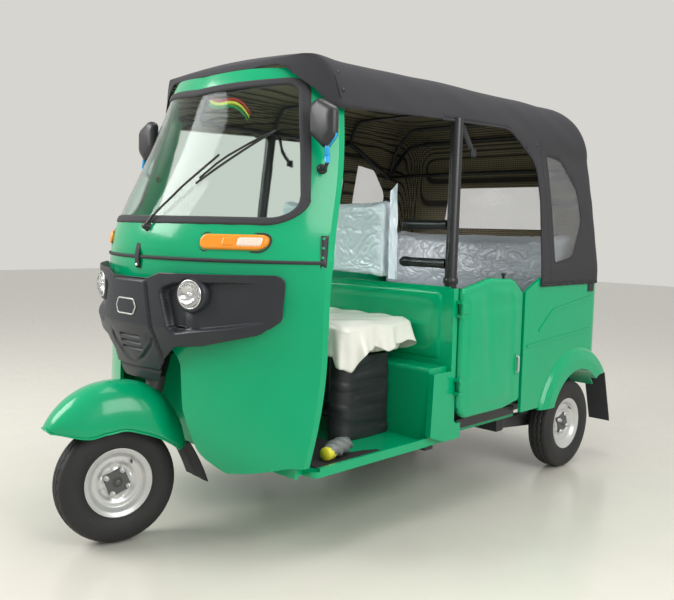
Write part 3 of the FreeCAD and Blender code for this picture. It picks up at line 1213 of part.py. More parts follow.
for name, shape in STEERED.items():
    turned = shape.copy()
    turned.rotate(V(*axis_point(TYRE_RADIUS)), V(0, RAKE, 1), STEER_REST_DEG)
    NODES[name] = turned
for word, side in (("left", 1), ("right", -1)):
    x = side * REAR_TRACK / 2.0
    NODES["rear_rim_" + word] = shifted(rim(side), x, WHEELBASE)
    NODES["rear_tyre_" + word] = shifted(tyre(), x, WHEELBASE)

low = [1e9] * 3
high = [-1e9] * 3
for name, shape in NODES.items():
    moved = shape.copy()
    moved.translate(V(0, -ORIGIN_Y, 0))
    moved.exportStep("parts/" + name + ".step")
    b = moved.BoundBox
    low = [min(low[0], b.XMin), min(low[1], b.YMin), min(low[2], b.ZMin)]
    high = [max(high[0], b.XMax), max(high[1], b.YMax), max(high[2], b.ZMax)]
    print(name, len(moved.Solids), round(moved.Volume / 1e6, 3), moved.isValid())
print("box", [round(v, 1) for v in low], [round(v, 1) for v in high])
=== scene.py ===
import logging
import math
from dataclasses import dataclass, field
from enum import Enum
from typing import Callable, Sequence

import bmesh
import bpy
import numpy as np
from mathutils import Matrix, Quaternion, Vector, noise


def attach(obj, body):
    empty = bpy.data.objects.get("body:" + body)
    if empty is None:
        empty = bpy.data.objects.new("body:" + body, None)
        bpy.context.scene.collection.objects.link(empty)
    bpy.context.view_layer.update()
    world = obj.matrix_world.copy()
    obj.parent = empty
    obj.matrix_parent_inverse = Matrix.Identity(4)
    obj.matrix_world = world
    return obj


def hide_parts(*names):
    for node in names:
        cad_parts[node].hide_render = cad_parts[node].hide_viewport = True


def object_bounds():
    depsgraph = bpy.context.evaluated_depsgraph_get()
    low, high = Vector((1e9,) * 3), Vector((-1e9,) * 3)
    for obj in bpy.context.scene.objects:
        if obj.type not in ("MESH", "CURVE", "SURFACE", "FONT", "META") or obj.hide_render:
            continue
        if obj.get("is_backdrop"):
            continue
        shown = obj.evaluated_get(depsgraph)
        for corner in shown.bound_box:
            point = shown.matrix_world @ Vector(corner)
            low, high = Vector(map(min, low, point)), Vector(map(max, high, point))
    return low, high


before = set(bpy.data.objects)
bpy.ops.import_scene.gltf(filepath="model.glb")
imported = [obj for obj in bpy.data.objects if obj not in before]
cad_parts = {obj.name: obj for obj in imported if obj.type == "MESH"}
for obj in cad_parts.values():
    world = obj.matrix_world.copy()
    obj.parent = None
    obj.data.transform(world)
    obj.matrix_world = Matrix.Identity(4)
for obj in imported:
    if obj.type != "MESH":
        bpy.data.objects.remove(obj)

LOG = logging.getLogger("auto_rickshaw")

# Working frame, as in the part's source: millimetres, x to the left, y rearward from the front axle, z up.
ORIGIN_Y = 1078.0
MM = 0.001
Point = tuple[float, float, float]
Array = np.ndarray


def at(x: float, y: float, z: float) -> Vector:
    """Turn a place in the working frame into metres of the row frame."""
    return Vector((x * MM, (y - ORIGIN_Y) * MM, z * MM))


def to_metres(points: Array) -> Array:
    """Turn many places in the working frame into metres of the row frame.

    Args:
        points: places in millimetres, one a row.

    Returns:
        The same places in metres.
    """
    moved = np.array(points, float).reshape(-1, 3)
    moved[:, 1] -= ORIGIN_Y
    return moved * MM


SIDES = ((1, "left"), (-1, "right"))
COAT_ROUGHNESS = 0.06
BUMP_STRENGTH = 0.6


class Slot(Enum):
    """Material slots of the record."""

    PAINT = "body_paint"
    HOOD = "hood_vinyl"
    PLASTIC = "dark_plastic"
    BLACK = "black_metal"
    RUBBER = "seal_rubber"
    MAT = "floor_mat"
    GLASS = "clear_glass"
    FILM = "clear_film"
    LENS = "lamp_lens"
    AMBER = "amber_lens"
    RED = "red_lens"
    MIRROR = "mirror_face"
    WRAP = "seat_wrap"
    VINYL = "seat_vinyl"
    STEEL = "wheel_steel"
    TYRE = "tyre"
    AXLE = "axle_steel"
    ENGINE = "engine_metal"


class Pattern(Enum):
    """Surface relief that a finish is given."""

    PLAIN = "plain"
    GRAIN = "grain"
    CHECK = "check"
    CRINKLE = "crinkle"
    RIBS = "ribs"
    FLUTES = "flutes"


@dataclass(frozen=True)
class Finish:
    """One procedural material.

    Args:
        name: name of the material.
        slot: slot of the record it belongs to; not used.
        colour: linear base colour.
        roughness: mean roughness.
        second: colour that the mottling or the weave moves towards.
        mottle: share of the second colour in the mottling.
        pattern: relief of the surface.
        scale: size of the relief, in features a metre.
        depth: depth of the relief, in millimetres.
        metallic: share of bare metal.
        coat: weight of the clear coat.
        transmission: share of light let through.
        shine: level of the plain gloss.
        ior: refractive index.
    """

    name: str
    slot: Slot
    colour: Point
    roughness: float
    second: Point = (0.0, 0.0, 0.0)
    mottle: float = 0.2
    pattern: Pattern = Pattern.GRAIN
    scale: float = 400.0
    depth: float = 0.1
    metallic: float = 0.0
    coat: float = 0.0
    transmission: float = 0.0
    shine: float = 0.5
    ior: float = 1.48

    def build(self) -> bpy.types.Material:
        """Make the material, or give back the one already made.

        Returns:
            The material.
        """
        made = bpy.data.materials.get(self.name)
        if made:
            return made
        made = bpy.data.materials.new(self.name)
        made.use_nodes = True
        tree = made.node_tree
        shader = tree.nodes["Principled BSDF"]
        for socket, value in {"Base Color": (*self.colour, 1.0), "Roughness": self.roughness,
                              "Metallic": self.metallic, "IOR": self.ior, "Coat Weight": self.coat,
                              "Coat Roughness": COAT_ROUGHNESS, "Transmission Weight": self.transmission,
                              "Specular IOR Level": self.shine}.items():
            shader.inputs[socket].default_value = value
        place = tree.nodes.new("ShaderNodeTexCoord").outputs["Object"]
        self._colour(tree, shader, place)
        self._relief(tree, shader, place)
        return made

    @staticmethod
    def _node(tree: bpy.types.NodeTree, kind: str, place: bpy.types.NodeSocket | None,
              values: dict[str, float]) -> bpy.types.Node:
        """Add a node.

        Args:
            tree: node tree of the material.
            kind: type of the node.
            place: coordinates for its vector, if it takes them.
            values: values of its inputs by name.

        Returns:
            The node.
        """
        node = tree.nodes.new(kind)
        for name, value in values.items():
            node.inputs[name].default_value = value
        if place:
            tree.links.new(place, node.inputs["Vector"])
        return node

    def _noise(self, tree: bpy.types.NodeTree, place: bpy.types.NodeSocket, scale: float,
               detail: float = 4.0) -> bpy.types.NodeSocket:
        """Even noise at a scale in features a metre, with a number of finer octaves."""
        return self._node(tree, "ShaderNodeTexNoise", place,
                          {"Scale": scale, "Detail": detail}).outputs["Fac"]

    def _colour(self, tree: bpy.types.NodeTree, shader: bpy.types.Node, place: bpy.types.NodeSocket) -> None:
        """Mottle or weave the colour, and vary the roughness.

        Args:
            tree: node tree of the material.
            shader: its surface shader.
            place: coordinates on the object.
        """
        mix = tree.nodes.new("ShaderNodeMix")
        mix.data_type = "RGBA"
        mix.inputs["A"].default_value = (*self.colour, 1.0)
        mix.inputs["B"].default_value = (*self.second, 1.0)
        if self.pattern is Pattern.CHECK:
            factor = self._check(tree, place)
        else:
            spread = self._node(tree, "ShaderNodeMapRange", None,
                                {"From Min": 0.35, "From Max": 0.75, "To Max": self.mottle})
            tree.links.new(self._noise(tree, place, 7.0, 6.0), spread.inputs["Value"])
            factor = spread.outputs["Result"]
        tree.links.new(factor, mix.inputs["Factor"])
        tree.links.new(mix.outputs["Result"], shader.inputs["Base Color"])
        rough = self._node(tree, "ShaderNodeMapRange", None, {"To Min": max(0.0, self.roughness - 0.07),
                                                              "To Max": min(1.0, self.roughness + 0.09)})
        tree.links.new(self._noise(tree, place, 23.0), rough.inputs["Value"])
        tree.links.new(rough.outputs["Result"], shader.inputs["Roughness"])

    def _check(self, tree: bpy.types.NodeTree, place: bpy.types.NodeSocket) -> bpy.types.NodeSocket:
        """Square weave.

        Args:
            tree: node tree of the material.
            place: coordinates on the object.

        Returns:
            The socket that is 0 on the threads and 1 between them.
        """
        node = self._node(tree, "ShaderNodeTexVoronoi", place, {"Scale": self.scale, "Randomness": 0.0})
        node.distance = "CHEBYCHEV"
        spread = self._node(tree, "ShaderNodeMapRange", None, {"From Min": 0.30, "From Max": 0.42})
        tree.links.new(node.outputs["Distance"], spread.inputs["Value"])
        return spread.outputs["Result"]

    def _relief(self, tree: bpy.types.NodeTree, shader: bpy.types.Node, place: bpy.types.NodeSocket) -> None:
        """Give the surface its pattern as fine bump.

        Args:
            tree: node tree of the material.
            shader: its surface shader.
            place: coordinates on the object.
        """
        if self.pattern is Pattern.PLAIN:
            return
        if self.pattern in (Pattern.RIBS, Pattern.FLUTES):
            node = self._node(tree, "ShaderNodeTexWave", place, {"Scale": self.scale, "Distortion": 0.2})
            node.wave_type = "BANDS"
            node.bands_direction = "Y" if self.pattern is Pattern.RIBS else "X"
            height = node.outputs["Fac"]
        elif self.pattern is Pattern.CHECK:
            height = self._check(tree, place)
        elif self.pattern is Pattern.CRINKLE:
            source = self._node(tree, "ShaderNodeTexNoise", place, {"Scale": 9.0})
            warp = tree.nodes.new("ShaderNodeVectorMath")
            warp.operation = "MULTIPLY_ADD"
            warp.inputs[1].default_value = (0.12, 0.12, 0.12)
            tree.links.new(source.outputs["Color"], warp.inputs[0])
            tree.links.new(place, warp.inputs[2])
            node = self._node(tree, "ShaderNodeTexVoronoi", warp.outputs["Vector"], {"Scale": self.scale})
            node.feature = "DISTANCE_TO_EDGE"
            height = node.outputs["Distance"]
        else:
            height = self._noise(tree, place, self.scale, 5.0)
        bump = self._node(tree, "ShaderNodeBump", None,
                          {"Strength": BUMP_STRENGTH, "Distance": self.depth * MM})
        tree.links.new(height, bump.inputs["Height"])
        tree.links.new(bump.outputs["Normal"], shader.inputs["Normal"])


PAINT = Finish("green_enamel", Slot.PAINT, (0.0, 0.37, 0.155), 0.2, (0.0, 0.30, 0.12), 0.25,
               scale=60.0, depth=0.05, coat=0.25, shine=0.3)
HOOD = Finish("hood_vinyl", Slot.HOOD, (0.016, 0.019, 0.022), 0.46, (0.03, 0.034, 0.038), 0.5, scale=900.0,
              depth=0.25, shine=0.3)
BAG = Finish("grey_bag", Slot.WRAP, (0.20, 0.22, 0.21), 0.35, (0.10, 0.11, 0.11), 0.8, Pattern.CRINKLE, 60.0,
             3.0)
YELLOW_TAPE = Finish("yellow_tape", Slot.WRAP, (0.78, 0.72, 0.04), 0.4, (0.6, 0.55, 0.03), 0.4, scale=300.0)
RED_CLOTH = Finish("red_ribbon", Slot.WRAP, (0.55, 0.02, 0.02), 0.6, (0.4, 0.02, 0.02), 0.4, scale=500.0)
GREEN_CLOTH = Finish("green_ribbon", Slot.WRAP, (0.02, 0.28, 0.06), 0.6, (0.02, 0.2, 0.05), 0.4, scale=500.0)
LINING = Finish("woven_lining", Slot.HOOD, (0.36, 0.30, 0.19), 0.8, (0.025, 0.02, 0.015),
                pattern=Pattern.CHECK, scale=95.0, depth=0.4)
PLASTIC = Finish("moulded_plastic", Slot.PLASTIC, (0.022, 0.025, 0.030), 0.38, (0.034, 0.038, 0.045), 0.4,
                 scale=1500.0, depth=0.06, shine=0.4)
BLACK = Finish("black_enamel", Slot.BLACK, (0.012, 0.013, 0.015), 0.32, (0.03, 0.03, 0.032), 0.3, scale=300.0)
RUBBER = Finish("seal_rubber", Slot.RUBBER, (0.009, 0.010, 0.012), 0.45, (0.02, 0.02, 0.022), 0.4,
                scale=800.0, shine=0.4)
MAT = Finish("ribbed_mat", Slot.MAT, (0.014, 0.014, 0.015), 0.7, (0.04, 0.038, 0.035), 0.4, Pattern.RIBS,
             28.0, 2.0)
GLASS = Finish("tinted_glass", Slot.GLASS, (0.80, 0.93, 0.88), 0.02, (0.78, 0.92, 0.86), 0.2, Pattern.PLAIN,
               transmission=1.0, ior=1.18)
FILM = Finish("window_film", Slot.FILM, (0.86, 0.87, 0.88), 0.08, (0.7, 0.7, 0.72), 0.3, Pattern.GRAIN, 12.0,
              3.0, transmission=0.92, ior=1.12)
LENS = Finish("lamp_glass", Slot.LENS, (0.95, 0.96, 0.97), 0.03, (0.9, 0.9, 0.9), 0.2, Pattern.FLUTES, 55.0,
              1.2, transmission=1.0, ior=1.4)
CHROME = Finish("bright_reflector", Slot.LENS, (0.86, 0.86, 0.86), 0.12, (0.7, 0.7, 0.72), 0.3, Pattern.PLAIN,
                metallic=1.0)
AMBER = Finish("amber_lens", Slot.AMBER, (0.95, 0.26, 0.006), 0.16, (0.9, 0.2, 0.004), 0.3, Pattern.FLUTES,
               60.0, 1.0, coat=0.6, transmission=0.25)
CLEAR_LENS = Finish("clear_ribbed_lens", Slot.AMBER, (0.93, 0.72, 0.6), 0.2, (0.8, 0.55, 0.4), 0.4,
                    Pattern.FLUTES, 90.0, 1.2, coat=0.6)
RED = Finish("red_lens", Slot.RED, (0.55, 0.012, 0.01), 0.16, (0.4, 0.01, 0.01), 0.3, Pattern.FLUTES, 60.0,
             1.0, coat=0.6)
MIRROR = Finish("mirror_silver", Slot.MIRROR, (0.82, 0.84, 0.86), 0.03, (0.8, 0.82, 0.84), 0.2, Pattern.PLAIN,
                metallic=1.0)
HOUSING = Finish("mirror_housing", Slot.MIRROR, (0.022, 0.023, 0.026), 0.38, (0.04, 0.04, 0.045), 0.4,
                 scale=1500.0, depth=0.05)
BLUE_FILM = Finish("blue_film", Slot.MIRROR, (0.01, 0.33, 0.75), 0.25, (0.02, 0.45, 0.85), 0.6,
                   Pattern.CRINKLE, 160.0, 1.0, coat=0.3)
WRAP = Finish("wrapped_seat", Slot.WRAP, (0.70, 0.80, 0.85), 0.3, (0.58, 0.70, 0.77), 0.5, Pattern.CRINKLE,
              22.0, 2.5, coat=0.5)
CREAM_WRAP = Finish("wrapped_cushion", Slot.WRAP, (0.80, 0.79, 0.71), 0.34, (0.68, 0.68, 0.62), 0.5,
                    Pattern.CRINKLE, 18.0, 3.5, coat=0.4)
GREY_WRAP = Finish("wrapped_bench", Slot.WRAP, (0.52, 0.56, 0.60), 0.34, (0.40, 0.45, 0.50), 0.6,
                   Pattern.CRINKLE, 16.0, 3.0, coat=0.4)
VINYL = Finish("seat_box_vinyl", Slot.VINYL, (0.016, 0.017, 0.020), 0.45, (0.03, 0.031, 0.035), 0.5,
               scale=500.0, depth=0.3)
STEEL = Finish("silver_enamel", Slot.STEEL, (0.60, 0.60, 0.585), 0.3, (0.5, 0.5, 0.49), 0.4, scale=500.0,
               depth=0.05, metallic=0.35, coat=0.3)
TYRE = Finish("tyre_rubber", Slot.TYRE, (0.016, 0.016, 0.017), 0.62, (0.035, 0.033, 0.03), 0.4, scale=700.0,
              depth=0.12)
AXLE = Finish("axle_steel", Slot.AXLE, (0.05, 0.05, 0.052), 0.45, (0.12, 0.10, 0.08), 0.35, scale=400.0,
              metallic=0.4)
ENGINE = Finish("cast_alloy", Slot.ENGINE, (0.28, 0.28, 0.28), 0.55, (0.15, 0.14, 0.13), 0.6, scale=250.0,
                depth=0.4, metallic=0.7)
NODE_FINISH: dict[str, Finish] = {"chassis_frame": BLACK, "floor_pan": PAINT, "floor_mats": MAT,
                                  "front_bulkhead": PAINT, "head_tube": BLACK, "dashboard": PLASTIC,
                                  "front_cowl": PAINT, "windscreen_surround": PAINT,
                                  "windscreen_seal": RUBBER, "windscreen_glass": GLASS, "wiper": BLACK,
                                  "cowl_trim": RUBBER, "nose_fascia": PLASTIC, "headlamps": LENS,
                                  "turn_indicators": AMBER, "mirrors": HOUSING, "partition_panel": PAINT,
                                  "driver_seat_base": VINYL, "driver_cushion": CREAM_WRAP,
                                  "driver_backrest": WRAP, "side_pillars": BLACK, "grab_rails": BLACK,
                                  "side_sills": BLACK, "side_panel_left": PAINT, "side_panel_right": PAINT,
                                  "rear_panel": PAINT, "engine_lid": PAINT, "door_left": PAINT,
                                  "door_right": PAINT, "passenger_seat_base": VINYL,
                                  "passenger_cushion": GREY_WRAP, "passenger_backrest": GREY_WRAP,
                                  "canopy_skin": HOOD, "canopy_frame": BLACK, "canopy_windows": FILM,
                                  "tail_lamps": RED, "rear_bumper": BLACK, "rear_mudflaps": RUBBER,
                                  "trailing_arms": AXLE, "rear_shocks": AXLE, "engine_block": ENGINE,
                                  "exhaust": AXLE, "steering_fork": AXLE, "front_fender": PAINT,
                                  "front_mudflap": RUBBER, "handlebar": BLACK, "front_rim": STEEL,
                                  "front_tyre": TYRE, "rear_rim_left": STEEL, "rear_tyre_left": TYRE,
                                  "rear_rim_right": STEEL, "rear_tyre_right": TYRE,}


def rounded(points: Sequence[Point], steps: int = 6) -> Array:
    """Closed polygon through (u, v, corner radius) points, each corner an arc.

    Args:
        points: the corners, in order.
        steps: chords in each arc.

    Returns:
        The polygon's points, one a row.
    """
    out: list[Array] = []
    count = len(points)
    for i, (u, v, r) in enumerate(points):
        p = np.array((u, v))
        if r <= 0.0:
            out.append(p)
            continue
        a = np.array(points[i - 1][:2]) - p
        b = np.array(points[(i + 1) % count][:2]) - p
        a, b = a / np.linalg.norm(a), b / np.linalg.norm(b)
        half = math.acos(float(np.clip(a @ b, -1.0, 1.0))) / 2.0
        way = (a + b) / np.linalg.norm(a + b)
        centre = p + way * (r / math.sin(half))
        start = p + a * (r / math.tan(half)) - centre
        end = p + b * (r / math.tan(half)) - centre
        turn = math.atan2(start[0] * end[1] - start[1] * end[0], start @ end)
        for k in range(steps + 1):
            t = turn * k / steps
            c, s = math.cos(t), math.sin(t)
            out.append(centre + np.array((start[0] * c - start[1] * s, start[0] * s + start[1] * c)))
    return np.array(out)


def signed_distance(points: Array, polygon: Array) -> Array:
    """Distance of each point from a polygon's edge, negative inside it.

    Args:
        points: points, one a row.
        polygon: closed polygon.

    Returns:
        One distance for each point.
    """
    best = np.full(len(points), 1e9)
    inside = np.zeros(len(points), bool)
    for a, b in zip(polygon, np.roll(polygon, -1, 0)):
        d = b - a
        t = np.clip(((points - a) @ d) / max(float(d @ d), 1e-12), 0.0, 1.0)
        best = np.minimum(best, np.linalg.norm(points - a - t[:, None] * d, axis=1))
        crosses = (a[1] > points[:, 1]) != (b[1] > points[:, 1])
        level = np.where(crosses, (points[:, 1] - a[1]) / (d[1] if abs(d[1]) > 1e-12 else 1e-12), 0.0)
        inside ^= crosses & (points[:, 0] < a[0] + level * d[0])
    return np.where(inside, -best, best)


def ease(value: Array, low: float, high: float) -> Array:
    """Smooth step from 0 at low to 1 at high."""
    t = np.clip((value - low) / (high - low), 0.0, 1.0)
    return t * t * (3.0 - 2.0 * t)


def relief_sheet(outline: Array, cell: float, place: Callable[[Array, Array], Array],
                 holes: Sequence[Array] = ()) -> tuple[Array, list[tuple[int, ...]]]:
    """Fine sheet inside an outline, its edge drawn onto the outline.

    Args:
        outline: closed polygon in the sheet's own (u, v).
        cell: size of a grid cell.
        place: gives the points in the working frame for arrays of u and v.
        holes: closed polygons that are left open.

    Returns:
        The vertices in the working frame, and the faces.
    """
    low, high = outline.min(0) - cell, outline.max(0) + cell
    us, vs = np.arange(low[0], high[0] + cell, cell), np.arange(low[1], high[1] + cell, cell)
    grid = np.stack(np.meshgrid(us, vs, indexing="ij"), -1).reshape(-1, 2)
    edges = [outline, *holes]
    signs = [1.0] + [-1.0] * len(holes)

    def depth(points: Array) -> Array:
        """Distance out of the sheet, negative on it."""
        return np.max([s * signed_distance(points, e) for s, e in zip(signs, edges)], axis=0)

    far = depth(grid)
    step = cell * 0.05
    for _ in range(3):
        near = np.abs(far) < cell * 0.72
        slope = np.stack([(depth(grid[near] + np.array((step, 0.0))) - far[near]) / step,
                          (depth(grid[near] + np.array((0.0, step))) - far[near]) / step], -1)
        length = np.maximum((slope ** 2).sum(1, keepdims=True), 0.25)
        outside = far[near] > -cell * 0.3
        grid[near] -= np.where(outside[:, None], slope * far[near][:, None] / length, 0.0)
        far[near] = depth(grid[near])
    rows = len(vs)
    corner = np.arange(len(us) * rows).reshape(len(us), rows)
    quads = np.stack([corner[:-1, :-1], corner[1:, :-1], corner[1:, 1:], corner[:-1, 1:]], -1).reshape(-1, 4)
    kept = quads[(far[quads] < cell * 0.06).all(1)]
    used = np.unique(kept)
    index = np.full(len(grid), -1)
    index[used] = np.arange(len(used))
    return place(grid[used, 0], grid[used, 1]), [tuple(int(i) for i in q) for q in index[kept]]


def filleted(points: Sequence[Point], bend: float, steps: int = 6) -> list[Vector]:
    """Open line through points whose inner corners are arcs.

    Args:
        points: ends and corners of the line.
        bend: radius of each arc.
        steps: chords in each arc.

    Returns:
        The line's points.
    """
    vs = [Vector(p) for p in points]
    out = [vs[0]]
    for before, corner, after in zip(vs, vs[1:], vs[2:]):
        a, b = (before - corner).normalized(), (after - corner).normalized()
        half = a.angle(b) / 2.0
        if half > 1.55:
            out.append(corner)
            continue
        way = (a + b).normalized()
        centre = corner + way * (bend / math.sin(half))
        start, end = corner + a * (bend / math.tan(half)) - centre, corner + b * (bend / math.tan(half)) - centre
        turn = start.rotation_difference(end)
        for k in range(steps + 1):
            out.append(centre + Quaternion().slerp(turn, k / steps) @ start)
    out.append(vs[-1])
    return out


def box_line(low: tuple[float, float], high: tuple[float, float], radius: float, steps: int = 6) -> Array:
    """Closed rectangle between two corners, with rounded corners.

    Args:
        low: its lowest u and v.
        high: its highest u and v.
        radius: radius of each corner.
        steps: chords in each arc.

    Returns:
        The polygon's points, one a row.
    """
    (u0, v0), (u1, v1) = low, high
    return rounded([(u0, v0, radius), (u1, v0, radius), (u1, v1, radius), (u0, v1, radius)], steps)


def mirrored(points: Sequence[Point]) -> list[Point]:
    """Outline of one side followed by its mirror image, back to the start."""
    return [*points, *[(-u, v, r) for u, v, r in reversed(points)]]


def refined(line: Array, parts: int, closed: bool = True) -> Array:
    """Line with each of its chords split into equal parts."""
    ends = np.roll(line, -1, 0) if closed else line[1:]
    fine = [np.linspace(a, b, parts, endpoint=False) for a, b in zip(line, ends)]
    return np.concatenate(fine if closed else fine + [line[-1:]])


def evenly(line: Array, count: int, endpoint: bool = True) -> Array:
    """Points at equal steps of the run along a line."""
    run = np.concatenate([[0.0], np.cumsum(np.linalg.norm(np.diff(line, axis=0), axis=1))])
    keep = np.linspace(0.0, run[-1], count, endpoint=endpoint)
    return np.column_stack([np.interp(keep, run, line[:, k]) for k in (0, 1)])


def band_faces(loops: int, count: int) -> list[tuple[int, ...]]:
    """Quads between closed loops that have the same count of points."""
    return [(r * count + i, r * count + (i + 1) % count, (r + 1) * count + (i + 1) % count,
             (r + 1) * count + i) for r in range(loops - 1) for i in range(count)]


def grid_faces(rows: int, count: int) -> list[tuple[int, ...]]:
    """Quads between open rows that have the same count of points."""
    return [(r * count + i, r * count + i + 1, (r + 1) * count + i + 1, (r + 1) * count + i)
            for r in range(rows - 1) for i in range(count - 1)]


def shrunk_loops(outline: Array, rows: Sequence[tuple[float, float]]) -> list[tuple[float, Array]]:
    """Outline drawn in towards its middle by each row's share, with that row's depth."""
    middle = outline.mean(0)
    return [(depth, middle + (outline - middle) * share) for depth, share in rows]


def coil(low: Point, high: Point, radius: float, turns: float, steps: int, tilted: bool) -> list[Point]:
    """Line of a coil spring.

    Args:
        low: middle of its lower end.
        high: middle of its upper end.
        radius: radius of the coil.
        turns: number of turns.
        steps: chords in the line.
        tilted: whether the turns stand square to the spring, and not level.

    Returns:
        The line's points.
    """
    start, run = np.array(low), np.array(high) - np.array(low)
    side = np.array((1.0, 0.0, 0.0))
    over = np.cross(run / np.linalg.norm(run), side) if tilted else np.array((0.0, 1.0, 0.0))
    angles = 2.0 * math.pi * turns * np.arange(steps + 1) / steps
    return [tuple(start + run * k / steps + radius * (side * math.cos(a) + over * math.sin(a)))
            for k, a in enumerate(angles)]


def place_object(name: str, data: bpy.types.ID) -> bpy.types.Object:
    """Add an object with its data to the scene."""
    thing = bpy.data.objects.new(name, data)
    bpy.context.scene.collection.objects.link(thing)
    return thing


@dataclass
class Fitter:
    """Turns points in the working frame into pieces that ride on one body.

    Args:
        body: body the pieces ride on.
        turn: matrix in metres that the pieces are carried by, such as the rest angle of the steering.
    """

    body: str
    turn: Matrix = field(default_factory=lambda: Matrix.Identity(4))

    def _settle(self, thing: bpy.types.Object, finish: Finish, replaces: Sequence[str]) -> bpy.types.Object:
        """Finish a piece and let it ride on the body.

        Args:
            thing: the piece.
            finish: its finish.
            replaces: nodes that it stands for.

        Returns:
            The piece.
        """
        thing.data.materials.append(finish.build())
        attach(thing, self.body)
        if replaces:
            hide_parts(*replaces)
        return thing

    def mesh(self, name: str, points: Array, faces: Sequence[Sequence[int]], finish: Finish,
             replaces: Sequence[str] = (), smooth: bool = True, thickness: float = 0.0, subdivide: int = 0,
             bevel: float = 0.0) -> bpy.types.Object:
        """Make a mesh piece.

        Args:
            name: name of the piece.
            points: vertices in the working frame.
            faces: faces by vertex number.
            finish: finish of the whole piece.
            replaces: nodes that it stands for.
            smooth: whether it is shaded smooth.
            thickness: thickness of a sheet, inward from its faces, in millimetres.
            subdivide: levels of subdivision.
            bevel: radius of its edges, in millimetres.

        Returns:
            The piece.
        """
        data = bpy.data.meshes.new(name)
        data.from_pydata([tuple(p) for p in to_metres(points)], [], [tuple(f) for f in faces])
        data.transform(self.turn)
        data.validate()
        data.polygons.foreach_set("use_smooth", [smooth] * len(data.polygons))
        thing = place_object(name, data)
        if thickness:
            solid = thing.modifiers.new("thickness", "SOLIDIFY")
            solid.thickness = thickness * MM
            solid.offset = -1.0
        if bevel:
            edge = thing.modifiers.new("edge", "BEVEL")
            edge.width = bevel * MM
            edge.segments = 3
            edge.limit_method = "ANGLE"
            edge.harden_normals = True
        if subdivide:
            level = thing.modifiers.new("level", "SUBSURF")
            level.levels = level.render_levels = subdivide
        return self._settle(thing, finish, replaces)

    def tube(self, name: str, points: Sequence[Sequence[float]], radius: float, finish: Finish,
             replaces: Sequence[str] = (), closed: bool = False, radii: Sequence[float] = (),
             resolution: int = 3) -> bpy.types.Object:
        """Make a round bar along points, with capped ends.

        Args:
            name: name of the piece.
            points: its middle line in the working frame.
            radius: radius of the bar.
            finish: its finish.
            replaces: nodes that it stands for.
            closed: whether it runs back to its start.
            radii: share of the radius at each point, if it swells.
            resolution: fineness of its round section.

        Returns:
            The piece.
        """
        data = bpy.data.curves.new(name, "CURVE")
        data.dimensions = "3D"
        data.bevel_depth = radius * MM
        data.bevel_resolution = resolution
        data.use_fill_caps = True
        spline = data.splines.new("POLY")
        spline.points.add(len(points) - 1)
        for i, p in enumerate(points):
            spline.points[i].co = (*(self.turn @ at(*p)), 1.0)
            spline.points[i].radius = radii[i] if len(radii) else 1.0
        spline.use_cyclic_u = closed
        spline.use_smooth = True
        thing = place_object(name, data)
        return self._settle(thing, finish, replaces)

    def lathe(self, name: str, profile: Sequence[tuple[float, float]], centre: Point, axis: Point,
              finish: Finish, replaces: Sequence[str] = (), steps: int = 48) -> bpy.types.Object:
        """Make a turned piece.

        Args:
            name: name of the piece.
            profile: (radius, distance along the axis) points.
            centre: where the axis starts.
            axis: direction of the axis.
            finish: its finish.
            replaces: nodes that it stands for.
            steps: steps round the axis.

        Returns:
            The piece.
        """
        way = Vector(axis).normalized()
        turn = Vector((0.0, 0.0, 1.0)).rotation_difference(way).to_matrix()
        points, faces = [], []
        count = len(profile)
        for k in range(steps):
            a = 2.0 * math.pi * k / steps
            for r, d in profile:
                points.append(tuple(Vector(centre) + turn @ Vector((r * math.cos(a), r * math.sin(a), d))))
        for k in range(steps):
            for i in range(count - 1):
                j = (k + 1) % steps
                faces.append((k * count + i, j * count + i, j * count + i + 1, k * count + i + 1))
        piece = self.mesh(name, np.array(points), faces, finish, replaces)
        self.weld(piece)
        return piece

    def block(self, name: str, low: Point, high: Point, finish: Finish, bevel: float = 2.0,
              replaces: Sequence[str] = ()) -> bpy.types.Object:
        """Make a block with rounded edges.

        Args:
            name: name of the piece.
            low: its lowest corner.
            high: its highest corner.
            finish: its finish.
            bevel: radius of its edges.
            replaces: nodes that it stands for.

        Returns:
            The piece.
        """
        xs, ys, zs = zip(low, high)
        points = np.array([(x, y, z) for x in xs for y in ys for z in zs])
        faces = [(0, 1, 3, 2), (4, 6, 7, 5), (0, 4, 5, 1), (2, 3, 7, 6), (0, 2, 6, 4), (1, 5, 7, 3)]
        return self.mesh(name, points, faces, finish, replaces, smooth=False, bevel=bevel)

    @staticmethod
    def weld(piece: bpy.types.Object, distance: float = 0.0002) -> None:
        """Join doubled vertices, drop faces that close up and turn all normals outward.

        Args:
            piece: the piece.
            distance: how near doubled vertices lie, in metres.
        """
        shape = bmesh.new()
        shape.from_mesh(piece.data)
        bmesh.ops.remove_doubles(shape, verts=shape.verts, dist=distance)
        bmesh.ops.dissolve_degenerate(shape, edges=shape.edges, dist=distance * 0.1)
        bmesh.ops.recalc_face_normals(shape, faces=shape.faces)
        shape.to_mesh(piece.data)
        shape.free()


